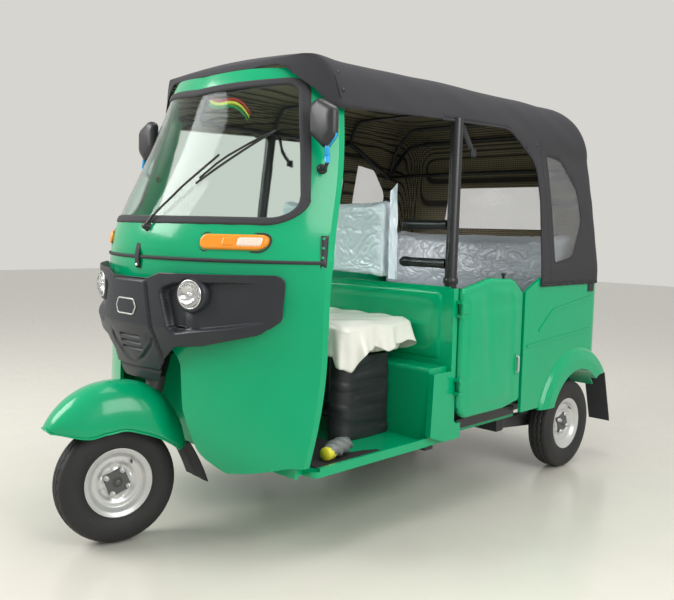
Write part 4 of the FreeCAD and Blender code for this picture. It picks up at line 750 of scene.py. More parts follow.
@dataclass(frozen=True)
class Studio:
    """Camera, soft lights, pale floor and backdrop."""

    eye: Point = (2399.2, -1386.6, 1097.4)
    azimuth: float = 0.771953
    elevation: float = 0.090087
    roll: float = 0.024360
    focal: float = 791.437
    picture: tuple[int, int] = (674, 600)
    middle: tuple[float, float] = (338.308, 299.650)
    sensor: float = 36.0
    floor_colour: Point = (0.66, 0.63, 0.55)
    back_colour: Point = (0.68, 0.665, 0.63)
    aim: Point = (0.0, 0.0, 0.8)
    # Name, place in metres, power in watts, side in metres
    lights: tuple[tuple[str, Point, float, float], ...] = (
        ("key", (-2.6, -3.6, 3.4), 190.0, 2.6), ("side", (4.2, -0.6, 2.8), 105.0, 2.4),
        ("overhead", (0.4, 0.6, 4.4), 90.0, 3.0))

    def camera(self) -> None:
        """Place the camera where the photograph was taken from."""
        ca, sa, ce, se = (math.cos(self.azimuth), math.sin(self.azimuth), math.cos(self.elevation),
                          math.sin(self.elevation))
        back = Vector((sa * ce, -ca * ce, se))
        right = (-back).cross(Vector((0.0, 0.0, 1.0))).normalized()
        up = right.cross(-back).normalized()
        cr, sr = math.cos(self.roll), math.sin(self.roll)
        across, rise = right * cr + up * sr, up * cr - right * sr
        data = bpy.data.cameras.new("camera")
        data.sensor_width = self.sensor
        width, height = self.picture
        data.lens = self.focal * self.sensor / width
        data.shift_x = (width / 2.0 - self.middle[0]) / width
        data.shift_y = (self.middle[1] - height / 2.0) / width
        data.clip_start, data.clip_end = 0.05, 60.0
        camera = place_object("camera", data)
        turn = Matrix((across, rise, back)).transposed()
        camera.matrix_world = Matrix.Translation(at(*self.eye)) @ turn.to_4x4()
        bpy.context.scene.camera = camera
        bpy.context.scene.view_settings.view_transform = "Standard"

    def light(self, name: str, place: Point, power: float, size: float) -> None:
        """Hang one soft square light that faces the vehicle.

        Args:
            name: name of the light.
            place: its place in metres.
            power: power in watts.
            size: length of its side in metres.
        """
        data = bpy.data.lights.new(name, "AREA")
        data.energy, data.size = power, size
        lamp = place_object(name, data)
        lamp.location = place
        lamp.rotation_euler = (Vector(self.aim) - Vector(place)).to_track_quat("-Z", "Y").to_euler()

    def world(self) -> None:
        """Pale backdrop for the camera and reflections, plain soft light for the rest."""
        world = bpy.data.worlds.new("studio")
        bpy.context.scene.world = world
        world.use_nodes = True
        tree = world.node_tree
        soft = tree.nodes["Background"]
        soft.inputs["Color"].default_value = (0.95, 0.98, 1.0, 1.0)
        soft.inputs["Strength"].default_value = 0.62
        pale = tree.nodes.new("ShaderNodeBackground")
        pale.inputs["Color"].default_value = (*self.back_colour, 1.0)
        path = tree.nodes.new("ShaderNodeLightPath")
        seen, more = tree.nodes.new("ShaderNodeMath"), tree.nodes.new("ShaderNodeMath")
        seen.operation = more.operation = "MAXIMUM"
        mix = tree.nodes.new("ShaderNodeMixShader")
        links = tree.links
        links.new(path.outputs["Is Camera Ray"], seen.inputs[0])
        links.new(path.outputs["Is Glossy Ray"], seen.inputs[1])
        links.new(seen.outputs[0], more.inputs[0])
        links.new(path.outputs["Is Transmission Ray"], more.inputs[1])
        links.new(more.outputs[0], mix.inputs[0])
        links.new(soft.outputs[0], mix.inputs[1])
        links.new(pale.outputs[0], mix.inputs[2])
        links.new(mix.outputs[0], tree.nodes["World Output"].inputs[0])

    def floor(self) -> None:
        """Lay a wide pale floor under the wheels."""
        data = bpy.data.meshes.new("floor")
        data.from_pydata([(-15, -15, 0), (15, -15, 0), (15, 15, 0), (-15, 15, 0)], [], [(0, 1, 2, 3)])
        floor = place_object("floor", data)
        finish = Finish("pale_floor", Slot.MAT, self.floor_colour, 0.22,
                        tuple(0.93 * c for c in self.floor_colour), 0.4, scale=3.0, depth=0.02)
        data.materials.append(finish.build())
        floor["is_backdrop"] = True

    def build(self) -> None:
        """Set up everything that isn't the vehicle."""
        self.camera()
        self.world()
        self.floor()
        for light in self.lights:
            self.light(*light)


def dress_nodes() -> None:
    """Give every carried-over node its finish."""
    for name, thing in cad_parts.items():
        thing.data.materials.clear()
        thing.data.materials.append(NODE_FINISH[name].build())


def keep_size(name: str, sizes: dict[str, list[list[float]]]) -> None:
    """Add the shown object's box to the sizes under a name."""
    low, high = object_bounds()
    sizes[name] = [list(low), list(high)]


WHEEL_Z = 208.0
STEER_FOOT_Y = 48.0
STEER_RAKE = math.radians(18.0)
STEER_AXIS = Vector((0.0, math.tan(STEER_RAKE), 1.0)).normalized()
STEER_FOOT = at(0.0, STEER_FOOT_Y, WHEEL_Z)
STEER_REST = math.radians(-12.0)
FLOOR_TOP = 300.0
HOOD_LOW = 868.0


def steering_turn() -> Matrix:
    """Matrix that carries a straight-ahead steered piece to its rest angle."""
    turn = Matrix.Rotation(STEER_REST, 4, STEER_AXIS)
    return Matrix.Translation(STEER_FOOT) @ turn @ Matrix.Translation(-STEER_FOOT)


VEHICLE = Fitter("vehicle")
STEERING = Fitter("steering", steering_turn())
FRONT_WHEEL = Fitter("front_wheel", steering_turn())


def arc_y(x: Array, nose: Array, corner: Array, half: float) -> Array:
    """Distance back of a circular arc from (half, corner) through (0, nose).

    Args:
        x: sideways places.
        nose: distance back at the middle.
        corner: distance back at the arc's end.
        half: half width at the arc's end.

    Returns:
        The distance back at each place.
    """
    rise = corner - nose
    radius = (half * half + rise * rise) / (2.0 * rise)
    return nose + radius - np.sqrt(np.maximum(radius ** 2 - np.square(x), 1.0))


@dataclass(frozen=True)
class CurvedFront:
    """Bowed front of the cab between levels: z, nose y, corner y, half width."""

    levels: tuple[tuple[float, float, float, float], ...]

    def y(self, x: Array, z: Array) -> Array:
        """Distance back of the front's surface.

        Args:
            x: sideways places.
            z: heights.

        Returns:
            The distance back at each place.
        """
        table = np.array(self.levels)
        nose, corner, half = (np.interp(z, table[:, 0], table[:, k]) for k in (1, 2, 3))
        return arc_y(x, nose, corner, half)

    def wrap(self, points: Array, proud: float) -> Array:
        """Lay points on the surface, standing proud of it along its normal.

        Args:
            points: (x, z) points, one a row.
            proud: how far out each stands.

        Returns:
            The points in the working frame.
        """
        x, z = points[:, 0], points[:, 1]
        y = self.y(x, z)
        dx = (self.y(x + 1.0, z) - self.y(x - 1.0, z)) / 2.0
        dz = (self.y(x, z + 1.0) - self.y(x, z - 1.0)) / 2.0
        normal = np.stack([dx, -np.ones_like(x), dz], -1)
        normal /= np.linalg.norm(normal, axis=1, keepdims=True)
        return np.stack([x, y, z], -1) + normal * np.asarray(proud).reshape(-1, 1)


COWL_FRONT = CurvedFront(((262.0, 168.0, 322.0, 580.0), (350.0, 126.0, 336.0, 594.0),
                          (600.0, 106.0, 384.0, 602.0), (820.0, 96.0, 392.0, 604.0),
                          (990.0, 88.7, 413.0, 600.0)))
SCREEN_FRONT = CurvedFront(((990.0, 88.7, 413.0, 600.0), (1104.0, 103.0, 462.0, 560.0),
                            (1334.0, 218.0, 528.0, 521.0), (1503.0, 297.0, 556.0, 489.0),
                            (1640.0, 360.0, 586.0, 462.0)))
NOSE_FRONT = CurvedFront(((540.0, 96.0, 470.0, 640.0), (640.0, 72.0, 440.0, 640.0),
                          (760.0, 40.0, 410.0, 640.0), (940.0, 46.0, 420.0, 640.0)))


@dataclass(frozen=True)
class HoodShape:
    """Curved form of the vinyl hood.

    Args:
        sides: z, nose y, corner y, half width at front and rear, side bulge, tail y, corner radius.
        top: height of the shoulder's top.
        crown: height of the crown.
    """

    sides: tuple[tuple[float, ...], ...] = ((866.0, 200.0, 520.0, 648.3, 648.3, 0.1, 2258.3, 98.3),
                                            (936.0, 200.0, 520.0, 648.3, 648.3, 0.1, 2258.3, 98.3),
                                            (1240.0, 230.0, 548.0, 600.0, 604.0, 6.0, 2265.0, 110.0),
                                            (1448.0, 341.0, 541.0, 522.0, 561.0, 24.0, 2283.0, 120.0))
    top: float = 1676.0
    crown: float = 1702.0
    draw_in: tuple[float, float, float, float] = (80.0, -60.0, 110.0, 210.0)
    crown_in: tuple[float, float, float, float] = (120.0, 120.0, 260.0, 300.0)
    hump: float = 14.0

    def row(self, s: float) -> tuple[float, ...]:
        """Plan of the hood at one level.

        Args:
            s: share of the way up: 0 to 1 the sides, 1 to 2 the shoulder, 2 to 3 the crown.

        Returns:
            The columns of sides at that level.
        """
        table = np.array(self.sides)
        if s <= 1.0:
            z = table[0, 0] + (table[-1, 0] - table[0, 0]) * s
            return (z, *(float(np.interp(z, table[:, 0], table[:, k])) for k in range(1, 8)))
        z, nose, corner, front, rear, bulge, tail, radius = table[-1]
        t = min(s - 1.0, 1.0) * math.pi / 2.0
        e = 1.0 - math.cos(t)
        n, c, w, b = self.draw_in
        z, nose, corner = z + (self.top - z) * math.sin(t), nose + n * e, corner + c * e
        front, rear, tail = front - w * e, rear - w * e, tail - b * e
        if s > 2.0:
            u = s - 2.0
            n, c, w, b = self.crown_in
            z += (self.crown - self.top) * (2.0 * u - u * u)
            nose, corner, front, rear, tail = (nose + n * u, corner + c * u, front - w * u, rear - w * u,
                                               tail - b * u)
        return (z, nose, corner, front, rear, bulge, tail, radius)

    def loop(self, s: float, counts: tuple[int, int, int, int] = (40, 90, 14, 30)) -> Array:
        """Closed line of points round the hood at one level.

        Args:
            s: share of the way up, as in row.
            counts: points across the front, along a side, in a corner and across the back.

        Returns:
            The points in the working frame.
        """
        z, nose, corner, front, rear, bulge, tail, radius = self.row(s)
        across, along, bend, back = counts
        x = -front * np.cos(np.linspace(0.0, math.pi, across, endpoint=False))
        nose_line = np.stack([x, arc_y(x, nose, corner, front)], -1)
        t = np.linspace(0.0, 1.0, along, endpoint=False)
        turn_y = tail - radius
        side = np.stack([front + (rear - front) * t + bulge * 4.0 * t * (1.0 - t),
                         corner + (turn_y - corner) * t], -1)
        a = np.linspace(0.0, math.pi / 2.0, bend, endpoint=False)
        arc = np.stack([rear - radius + radius * np.cos(a), turn_y + radius * np.sin(a)], -1)
        flat = np.stack([np.linspace(rear - radius, radius - rear, back, endpoint=False),
                         np.full(back, tail)], -1)
        a = np.linspace(math.pi / 2.0, 0.0, bend, endpoint=False)
        far_arc = np.stack([radius - rear - radius * np.cos(a), turn_y + radius * np.sin(a)], -1)
        t = np.linspace(1.0, 0.0, along, endpoint=False)
        far = np.stack([-front - (rear - front) * t - bulge * 4.0 * t * (1.0 - t),
                        corner + (turn_y - corner) * t], -1)
        plan = np.concatenate([nose_line, side, arc, flat, far_arc, far])
        for _ in range(4):
            plan = 0.5 * plan + 0.25 * (np.roll(plan, 1, 0) + np.roll(plan, -1, 0))
        return np.column_stack([plan, np.full(len(plan), z)])

    def side_x(self, y: float, z: float) -> float:
        """Half width of the hood's outside below the crown.

        Args:
            y: distance back.
            z: height.

        Returns:
            The half width.
        """
        low, high = 0.0, 2.0
        for _ in range(24):
            s = (low + high) / 2.0
            low, high = (s, high) if self.row(s)[0] < z else (low, s)
        _, _, corner, front, rear, bulge, tail, radius = self.row(low)
        turn_y = tail - radius
        t = min(max((y - corner) / (turn_y - corner), 0.0), 1.0)
        x = front + (rear - front) * t + bulge * 4.0 * t * (1.0 - t)
        if y > turn_y:
            x -= radius - math.sqrt(max(radius ** 2 - min(y - turn_y, radius) ** 2, 0.0))
        return x

    def form(self) -> tuple[Array, list[tuple[int, ...]]]:
        """Whole closed hood before its openings are cut.

        Returns:
            The points and the faces.
        """
        shares = np.concatenate([np.linspace(0.0, 1.0, 22)[:-1], np.linspace(1.0, 2.0, 16)[:-1],
                                 np.linspace(2.0, 3.0, 8)])
        loops = [self.loop(float(s)) for s in shares]
        count = len(loops[0])
        middle = loops[-1].copy()
        middle[:, 0] *= 0.04
        loops.append(middle)
        points = np.concatenate(loops)
        bows = np.array((1150.0, 1700.0, 2010.0))
        sag = np.min(np.abs(points[:, 1][:, None] - bows), axis=1)
        raise_front = self.hump * np.exp(-((points[:, 1] - 505.0) / 70.0) ** 2)
        over = ease(points[:, 2], 1600.0, 1676.0)
        points[:, 2] += over * (raise_front * 0.8 - 4.0 * ease(sag, 0.0, 220.0))
        ripple = np.sin(points[:, 1] * 0.021 + points[:, 2] * 0.05) * np.sin(points[:, 1] * 0.0083 + 1.0)
        points[:, 0] += np.sign(points[:, 0]) * ripple * 1.6 * ease(points[:, 2], 900.0, 1100.0)
        faces = band_faces(len(loops), count)
        faces.append(tuple(range((len(loops) - 1) * count, len(loops) * count)))
        return points, faces


HOOD_SHAPE = HoodShape()
SIDE_OPENING = ((200.0, 700.0, 0.0), (200.0, 1496.0, 0.0), (500.0, 1497.0, 0.0), (1050.0, 1518.0, 0.0),
                (1500.0, 1528.0, 150.0), (1700.0, 1400.0, 120.0), (1700.0, 1230.0, 0.0), (1668.0, 920.0, 0.0),
                (1668.0, 700.0, 0.0))
SIDE_WINDOW = ((1780.0, 966.0, 10.0), (1790.0, 1442.0, 10.0), (1925.0, 1424.0, 50.0), (2040.0, 1300.0, 100.0),
               (2056.0, 1150.0, 90.0), (1940.0, 990.0, 80.0))
REAR_WINDOW = ((-330.0, 1114.0, 30.0), (330.0, 1114.0, 30.0), (300.0, 1333.0, 30.0), (-300.0, 1333.0, 30.0))
HEADER_EDGE = ((510.0, 1484.0, 0.0), (444.0, 1560.0, 30.0), (322.0, 1650.0, 50.0), (0.0, 1630.0, 0.0))


@dataclass(frozen=True)
class Hood:
    """Vinyl hood with its woven lining, piped edges, seams, snap studs and window bindings."""

    skin: float = 4.0
    piping: float = 4.5
    window_frame: float = 3.0
    seam: float = 1.8
    rear_seam_y: float = 1748.0
    corner_seam: tuple[tuple[float, float], ...] = ((526.0, 1646.0), (532.0, 1600.0), (536.0, 1560.0),
                                                    (540.0, 1534.0))
    snaps: tuple[tuple[float, float], ...] = ((551.0, 1620.0), (556.0, 1560.0), (1716.0, 1480.0),
                                              (1722.0, 1300.0))
    flat: tuple[float, float] = (3.0, 2.95)

    def build(self) -> None:
        """Make the hood and all that is sewn to it."""
        self._skin()
        self._edges()
        self._windows()

    def _cutter(self, polygon: Array, plane: str, low: float, high: float) -> bpy.types.Object:
        """Make a prism that cuts an opening.

        Args:
            polygon: outline of the opening.
            plane: plane that the outline lies in, yz or xz.
            low: where the prism starts along the third axis.
            high: where it ends.

        Returns:
            The prism.
        """
        count = len(polygon)
        ends = []
        for depth in (low, high):
            column = np.full(count, depth)
            ends.append(np.stack([column, polygon[:, 0], polygon[:, 1]], -1) if plane == "yz"
                        else np.stack([polygon[:, 0], column, polygon[:, 1]], -1))
        faces = [tuple(range(count)), tuple(range(2 * count - 1, count - 1, -1))]
        faces += [(i, count + i, count + (i + 1) % count, (i + 1) % count) for i in range(count)]
        data = bpy.data.meshes.new("cutter")
        data.from_pydata([tuple(p) for p in to_metres(np.concatenate(ends))], [], faces)
        thing = place_object("cutter", data)
        shape = bmesh.new()
        shape.from_mesh(data)
        bmesh.ops.recalc_face_normals(shape, faces=shape.faces)
        shape.to_mesh(data)
        shape.free()
        return thing

    def _skin(self) -> None:
        """Make the skin and its lining, and cut the openings."""
        points, faces = HOOD_SHAPE.form()
        hood = VEHICLE.mesh("hood", points, faces, HOOD, ["canopy_skin"])
        VEHICLE.weld(hood)
        hood.data.materials.append(LINING.build())
        solid = hood.modifiers.new("cloth", "SOLIDIFY")
        solid.thickness, solid.offset = self.skin * MM, -1.0
        solid.material_offset = 1
        header = [(700.0, 1484.0, 0.0), *HEADER_EDGE]
        header += [(-x, z, r) for x, z, r in reversed(HEADER_EDGE[:-1])]
        header += [(-700.0, 1484.0, 0.0), (-700.0, 700.0, 0.0), (700.0, 700.0, 0.0)]
        cutters = [self._cutter(rounded(line), plane, low, high) for line, plane, low, high in
                   ((SIDE_OPENING, "yz", -720.0, 720.0), (header, "xz", 90.0, 640.0),
                    (SIDE_WINDOW, "yz", -720.0, 720.0), (REAR_WINDOW, "xz", 2000.0, 2400.0))]
        for cutter in cutters:
            cut = hood.modifiers.new("opening", "BOOLEAN")
            cut.object, cut.operation, cut.solver = cutter, "DIFFERENCE", "EXACT"
        graph = bpy.context.evaluated_depsgraph_get()
        made = bpy.data.meshes.new_from_object(hood.evaluated_get(graph))
        hood.modifiers.clear()
        hood.data = made
        for cutter in cutters:
            bpy.data.objects.remove(cutter)

    def _on_side(self, points: Array, side: int, proud: float) -> list[tuple[float, float, float]]:
        """Lay (y, z) points on one side of the hood, standing proud of it."""
        return [(side * (HOOD_SHAPE.side_x(float(y), float(z)) + proud), float(y), float(z)) for y,
                z in points]

    def _edges(self) -> None:
        """Pipe the side openings and the hem, and sew the seam behind each opening."""
        opening = rounded(SIDE_OPENING, 10)
        fine = refined(opening[(opening[:, 1] > HOOD_LOW) & (opening[:, 0] > 540.0)], 8, closed=False)
        rear = np.column_stack([np.full(12, self.rear_seam_y), np.linspace(HOOD_LOW, 1560.0, 12)])
        for side, word in SIDES:
            VEHICLE.tube(f"hood_opening_piping_{word}", self._on_side(fine, side, -1.0), self.piping, HOOD)
            VEHICLE.tube(f"hood_side_seam_{word}", self._on_side(rear, side, -0.5), self.seam, HOOD)
        hem = HOOD_SHAPE.loop(0.012)
        hem = hem[(hem[:, 1] > 1672.0)]
        order = np.argsort(np.arctan2(hem[:, 0], 5000.0 - hem[:, 1]))
        VEHICLE.tube("hood_hem_piping", [tuple(p) for p in hem[order]], 4.0, HOOD)

    def _windows(self) -> None:
        """Bind the side windows, and set the corner seams and snap studs."""
        fine = refined(rounded(SIDE_WINDOW, 10), 6)
        for side, word in SIDES:
            VEHICLE.tube(f"window_binding_{word}", self._on_side(fine, side, -1.0), self.window_frame, HOOD,
                         closed=True)
            VEHICLE.tube(f"hood_corner_seam_{word}", self._on_side(np.array(self.corner_seam), side, -0.5),
                         self.seam, HOOD)
            for k, (y, z) in enumerate(self.snaps):
                VEHICLE.lathe(f"hood_snap_{word}_{k}", [(0.0, 3.4), (4.0, 3.0), (6.5, 0.0)],
                              (side * HOOD_SHAPE.side_x(y, z), y, z), (side, 0.0, 0.15), BLACK, steps=16)


@dataclass(frozen=True)
class Windscreen:
    """Rubber seal and wiper of the windscreen."""

    outline: tuple[Point, ...] = ((507.0, 1113.0, 62.0), (496.0, 1190.0, 0.0), (392.0, 1594.0, 56.0),
                                  (300.0, 1588.0, 0.0))
    foot: float = 1112.0
    crown: float = 1568.0

    def line(self, grow: float) -> Array:
        """Closed (x, z) line of the seal.

        Args:
            grow: how far it is moved outward.

        Returns:
            The line's points, one a row.
        """
        left = [(x + grow, z + (grow if z > 1300 else -grow), max(r + grow, 0.0) if r else 0.0)
                for x, z, r in self.outline]
        right = [(-x, z, r) for x, z, r in reversed(left)]
        return rounded([(0.0, self.foot - grow, 0.0), *left, (0.0, self.crown + grow, 0.0), *right], 8)

    def build(self) -> None:
        """Make the seal as a lipped band, and the wiper."""
        self._seal()
        self._wiper()

    def _seal(self) -> None:
        """Sweep the seal's lipped section round the glass."""
        section = [(-13.0, -3.0), (-13.0, 1.5), (-9.0, 5.5), (-3.0, 7.0), (0.0, 5.6), (3.0, 7.0), (9.0, 6.0),
                   (12.5, 3.0), (13.0, -0.3)]
        rings = [SCREEN_FRONT.wrap(refined(self.line(grow), 5), proud) for grow, proud in section]
        seal = VEHICLE.mesh("screen_seal", np.concatenate(rings), band_faces(len(rings), len(rings[0])),
                            RUBBER, ["windscreen_seal"])
        VEHICLE.weld(seal)

    def _wiper(self) -> None:
        """Make the wiper's boss, arm, carrier and blade."""
        def on(x: float, z: float, proud: float) -> Point:
            """Point that stands proud of the glass."""
            return tuple(SCREEN_FRONT.wrap(np.array([(x, z)]), proud)[0])

        arm = [on(38.0, 1086.0, 16.0), on(70.0, 1122.0, 17.0), on(150.0, 1220.0, 20.0),
               on(236.0, 1322.0, 24.0)]
        VEHICLE.tube("wiper_arm", filleted(arm, 40.0), 4.0, BLACK, ["wiper"], radii=[1.3, 1.2] + [1.0] * 30)
        carrier = ((190.0, 1250.0, -1), (235.0, 1294.0, 0), (262.0, 1322.0, 0), (310.0, 1366.0, 0.4),
                   (352.0, 1404.0, 1))
        VEHICLE.tube("wiper_carrier", [on(x, z, 17.0 - abs(t) * 9.0) for x, z, t in carrier], 3.6, BLACK)
        VEHICLE.tube("wiper_blade", [on(182.0 + 184.0 * t, 1233.0 + 183.0 * t, 4.5)
                                     for t in np.linspace(0, 1, 9)], 4.0, RUBBER)
        VEHICLE.lathe("wiper_boss", [(0.0, 24.0), (8.0, 23.0), (12.0, 19.0), (13.0, 8.0), (17.0, 4.0),
                                     (17.0, 0.0)], on(38.0, 1086.0, 0.0), (0.0, -1.0, 0.25), BLACK, steps=24)


@dataclass(frozen=True)
class Nose:
    """Moulded nose panel with its raised centre panel, lamp pods, plain badge and slots."""

    side: tuple[Point, ...] = ((-106.0, 918.0, 20.0), (-160.0, 938.0, 30.0), (-542.0, 944.0, 26.0),
                               (-538.0, 796.0, 34.0), (-486.0, 752.0, 60.0), (-318.0, 706.0, 60.0),
                               (-215.0, 694.0, 40.0), (-150.0, 640.0, 40.0), (-108.0, 560.0, 24.0))
    pod: tuple[Point, ...] = ((-156.0, 886.0, 26.0), (-222.0, 910.0, 20.0), (-560.0, 924.0, 0.0),
                              (-560.0, 800.0, 0.0), (-394.0, 766.0, 60.0), (-206.0, 734.0, 30.0))
    centre: tuple[Point, ...] = ((-98.0, 911.0, 16.0), (-128.0, 768.0, 0.0), (-149.0, 668.0, 0.0),
                                 (-140.0, 600.0, 0.0), (140.0, 600.0, 0.0), (149.0, 668.0, 0.0),
                                 (128.0, 768.0, 0.0), (98.0, 911.0, 16.0))
    badge: tuple[Point, ...] = ((-59.0, 816.0, 0.0), (-46.0, 842.0, 12.0), (46.0, 842.0, 12.0),
                                (59.0, 816.0, 0.0), (46.0, 790.0, 12.0), (-46.0, 790.0, 12.0))
    crease: tuple[tuple[float, float], ...] = ((124.0, 712.0), (112.0, 690.0), (85.0, 668.0), (66.0, 650.0),
                                               (44.0, 637.0), (16.0, 628.0), (0.0, 626.0))
    pod_end: float = 512.0
    pod_depth: float = 37.0
    cell: float = 3.6
    lamp: tuple[float, float, float] = (278.0, 100.0, 872.0)
    lamp_toe: float = 16.0
    lamp_radius: float = 46.0

    def _pod_floor(self, x: Array, z: Array) -> Array:
        """Depth of the lamp pods' floor, which runs out flush at the moulding's ends.

        Args:
            x: sideways places.
            z: heights.

        Returns:
            How far back of the moulding it lies.
        """
        table = np.array(NOSE_FRONT.levels)
        nose, corner = (np.interp(z, table[:, 0], table[:, k]) for k in (1, 2))
        end = arc_y(np.full_like(x, self.pod_end), nose, corner, NOSE_FRONT.levels[0][3])
        return arc_y(x, nose + self.pod_depth, end,
                     self.pod_end) - arc_y(x, nose, corner, NOSE_FRONT.levels[0][3])

    def _crease(self, x: Array, z: Array) -> Array:
        """Distance from the crease in the centre panel.

        Args:
            x: sideways places.
            z: heights.

        Returns:
            One distance for each place.
        """
        away = np.full_like(x, 1e3)
        line = np.array(self.crease)
        for start, end in zip(line[:-1], line[1:]):
            way = end - start
            t = np.clip(((np.abs(x) - start[0]) * way[0] + (z - start[1]) * way[1]) / (way @ way), 0.0, 1.0)
            away = np.minimum(away, np.hypot(np.abs(x) - start[0] - way[0] * t, z - start[1] - way[1] * t))
        return away

    def _relief(self, x: Array, z: Array) -> Array:
        """Height of the moulded relief: pods, centre panel, badge field, slots and crease.

        Args:
            x: sideways places.
            z: heights.

        Returns:
            How far each place stands proud.
        """
        side = np.stack([-np.abs(x), z], -1)
        pod = signed_distance(side, rounded(self.pod))
        inside = ease(-pod, 0.0, 10.0)
        height = -np.maximum(self._pod_floor(x, z), 0.0) * inside
        height -= 3.0 * ease(np.abs(z - 915.0), 7.0, 3.0) * ease(np.abs(np.abs(x) - 330.0), 100.0, 80.0)
        lamp = np.hypot(np.abs(x) - self.lamp[0], z - self.lamp[2])
        height -= 24.0 * ease(lamp, 54.0, 48.0)
        throat = ease(np.abs(x) - self.lamp[0], 40.0, 8.0) * ease(z - self.lamp[2], -40.0, -90.0) * inside
        height += 9.0 * throat * ease(np.abs(np.abs(x) - self.lamp[0] + 4.0), 36.0, 6.0)
        centre = signed_distance(np.stack([x, z], -1), rounded(self.centre))
        height += 5.0 * ease(-centre, 1.0, 6.0) - 6.5 * ease(np.abs(centre), 4.5, 1.5)
        badge = signed_distance(np.stack([x, z], -1), rounded(self.badge))
        height += 2.4 * ease(badge, 2.0, -2.0)
        for mid in (671.0, 693.0, 715.0):
            slot = np.maximum(np.abs(x) - 60.0, np.abs(z - mid) - 3.6)
            height -= 11.0 * ease(slot, 1.5, -1.5)
        crease = self._crease(x, z)
        below = ease(z - (626.0 + 0.72 * np.abs(x)), 14.0, -14.0)
        depth = ease(np.abs(x), 4.0, 60.0) * 0.7 + 0.3
        return height - depth * (7.0 * ease(crease, 9.0, 1.0) + 4.0 * ease(crease, 36.0, 4.0) * (1.0 - below))

    def build(self) -> None:
        """Make the moulding, the lamps in it and the bare badge's rim."""
        outline = rounded(mirrored(self.side))

        def place(u: Array, v: Array) -> Array:
            """Lay the relief on the bowed surface, clear of the cowl."""
            surface = NOSE_FRONT.wrap(np.stack([u, v], -1), self._relief(u, v))
            limit = COWL_FRONT.y(u, np.minimum(v, 990.0)) - 1.0
            keep = (np.abs(u) > 190.0) | (v > 700.0)
            surface[:, 1] = np.where(keep, np.minimum(surface[:, 1], limit), surface[:, 1])
            return surface

        points, faces = relief_sheet(outline, self.cell, place)
        VEHICLE.mesh("nose_moulding", points, faces, PLASTIC, ["nose_fascia"], thickness=3.0)
        rim = rounded(self.badge, 6)
        VEHICLE.tube("badge_rim", [tuple(p) for p in NOSE_FRONT.wrap(rim, 7.2)], 2.6, STEEL, closed=True)
        for side, word in SIDES:
            self._lamp(side, word)

    def _lamp(self, side: int, word: str) -> None:
        """Make one round lamp: lens, bowl, bulb and shroud.

        Args:
            side: +1 for the left lamp, -1 for the right one.
            word: end of the pieces' names.
        """
        a = math.radians(self.lamp_toe) * side
        axis = (math.sin(a), -math.cos(a), 0.0)
        x, y, z = self.lamp
        centre = (side * x, y, z)
        r = self.lamp_radius
        VEHICLE.lathe(f"lamp_lens_{word}", [(0.0, 14.0), (r * 0.5, 11.5), (r * 0.85, 5.0), (r - 2.0, 0.0),
                                            (r - 2.0, -3.0)], centre, axis, LENS, ["headlamps"] if side > 0
                      else ())
        VEHICLE.lathe(f"lamp_bowl_{word}", [(8.0, -31.0), (20.0, -26.0), (36.0, -13.0), (r - 3.0, -2.0),
                                            (r - 1.0, 1.0), (r + 2.0, 0.0), (r + 2.0, -20.0)], centre, axis,
                      CHROME)
        VEHICLE.lathe(f"lamp_bulb_{word}", [(0.0, -6.0), (7.0, -8.0), (11.0, -14.0), (11.0, -26.0),
                                            (14.0, -31.0)], centre, axis, CHROME, steps=16)
        VEHICLE.lathe(f"lamp_shroud_{word}", [(r + 1.0, -6.0), (r + 3.0, -1.0), (r + 9.0, -3.0),
                                              (r + 14.0, -9.0), (r + 15.0, -30.0)], centre, axis, PLASTIC)


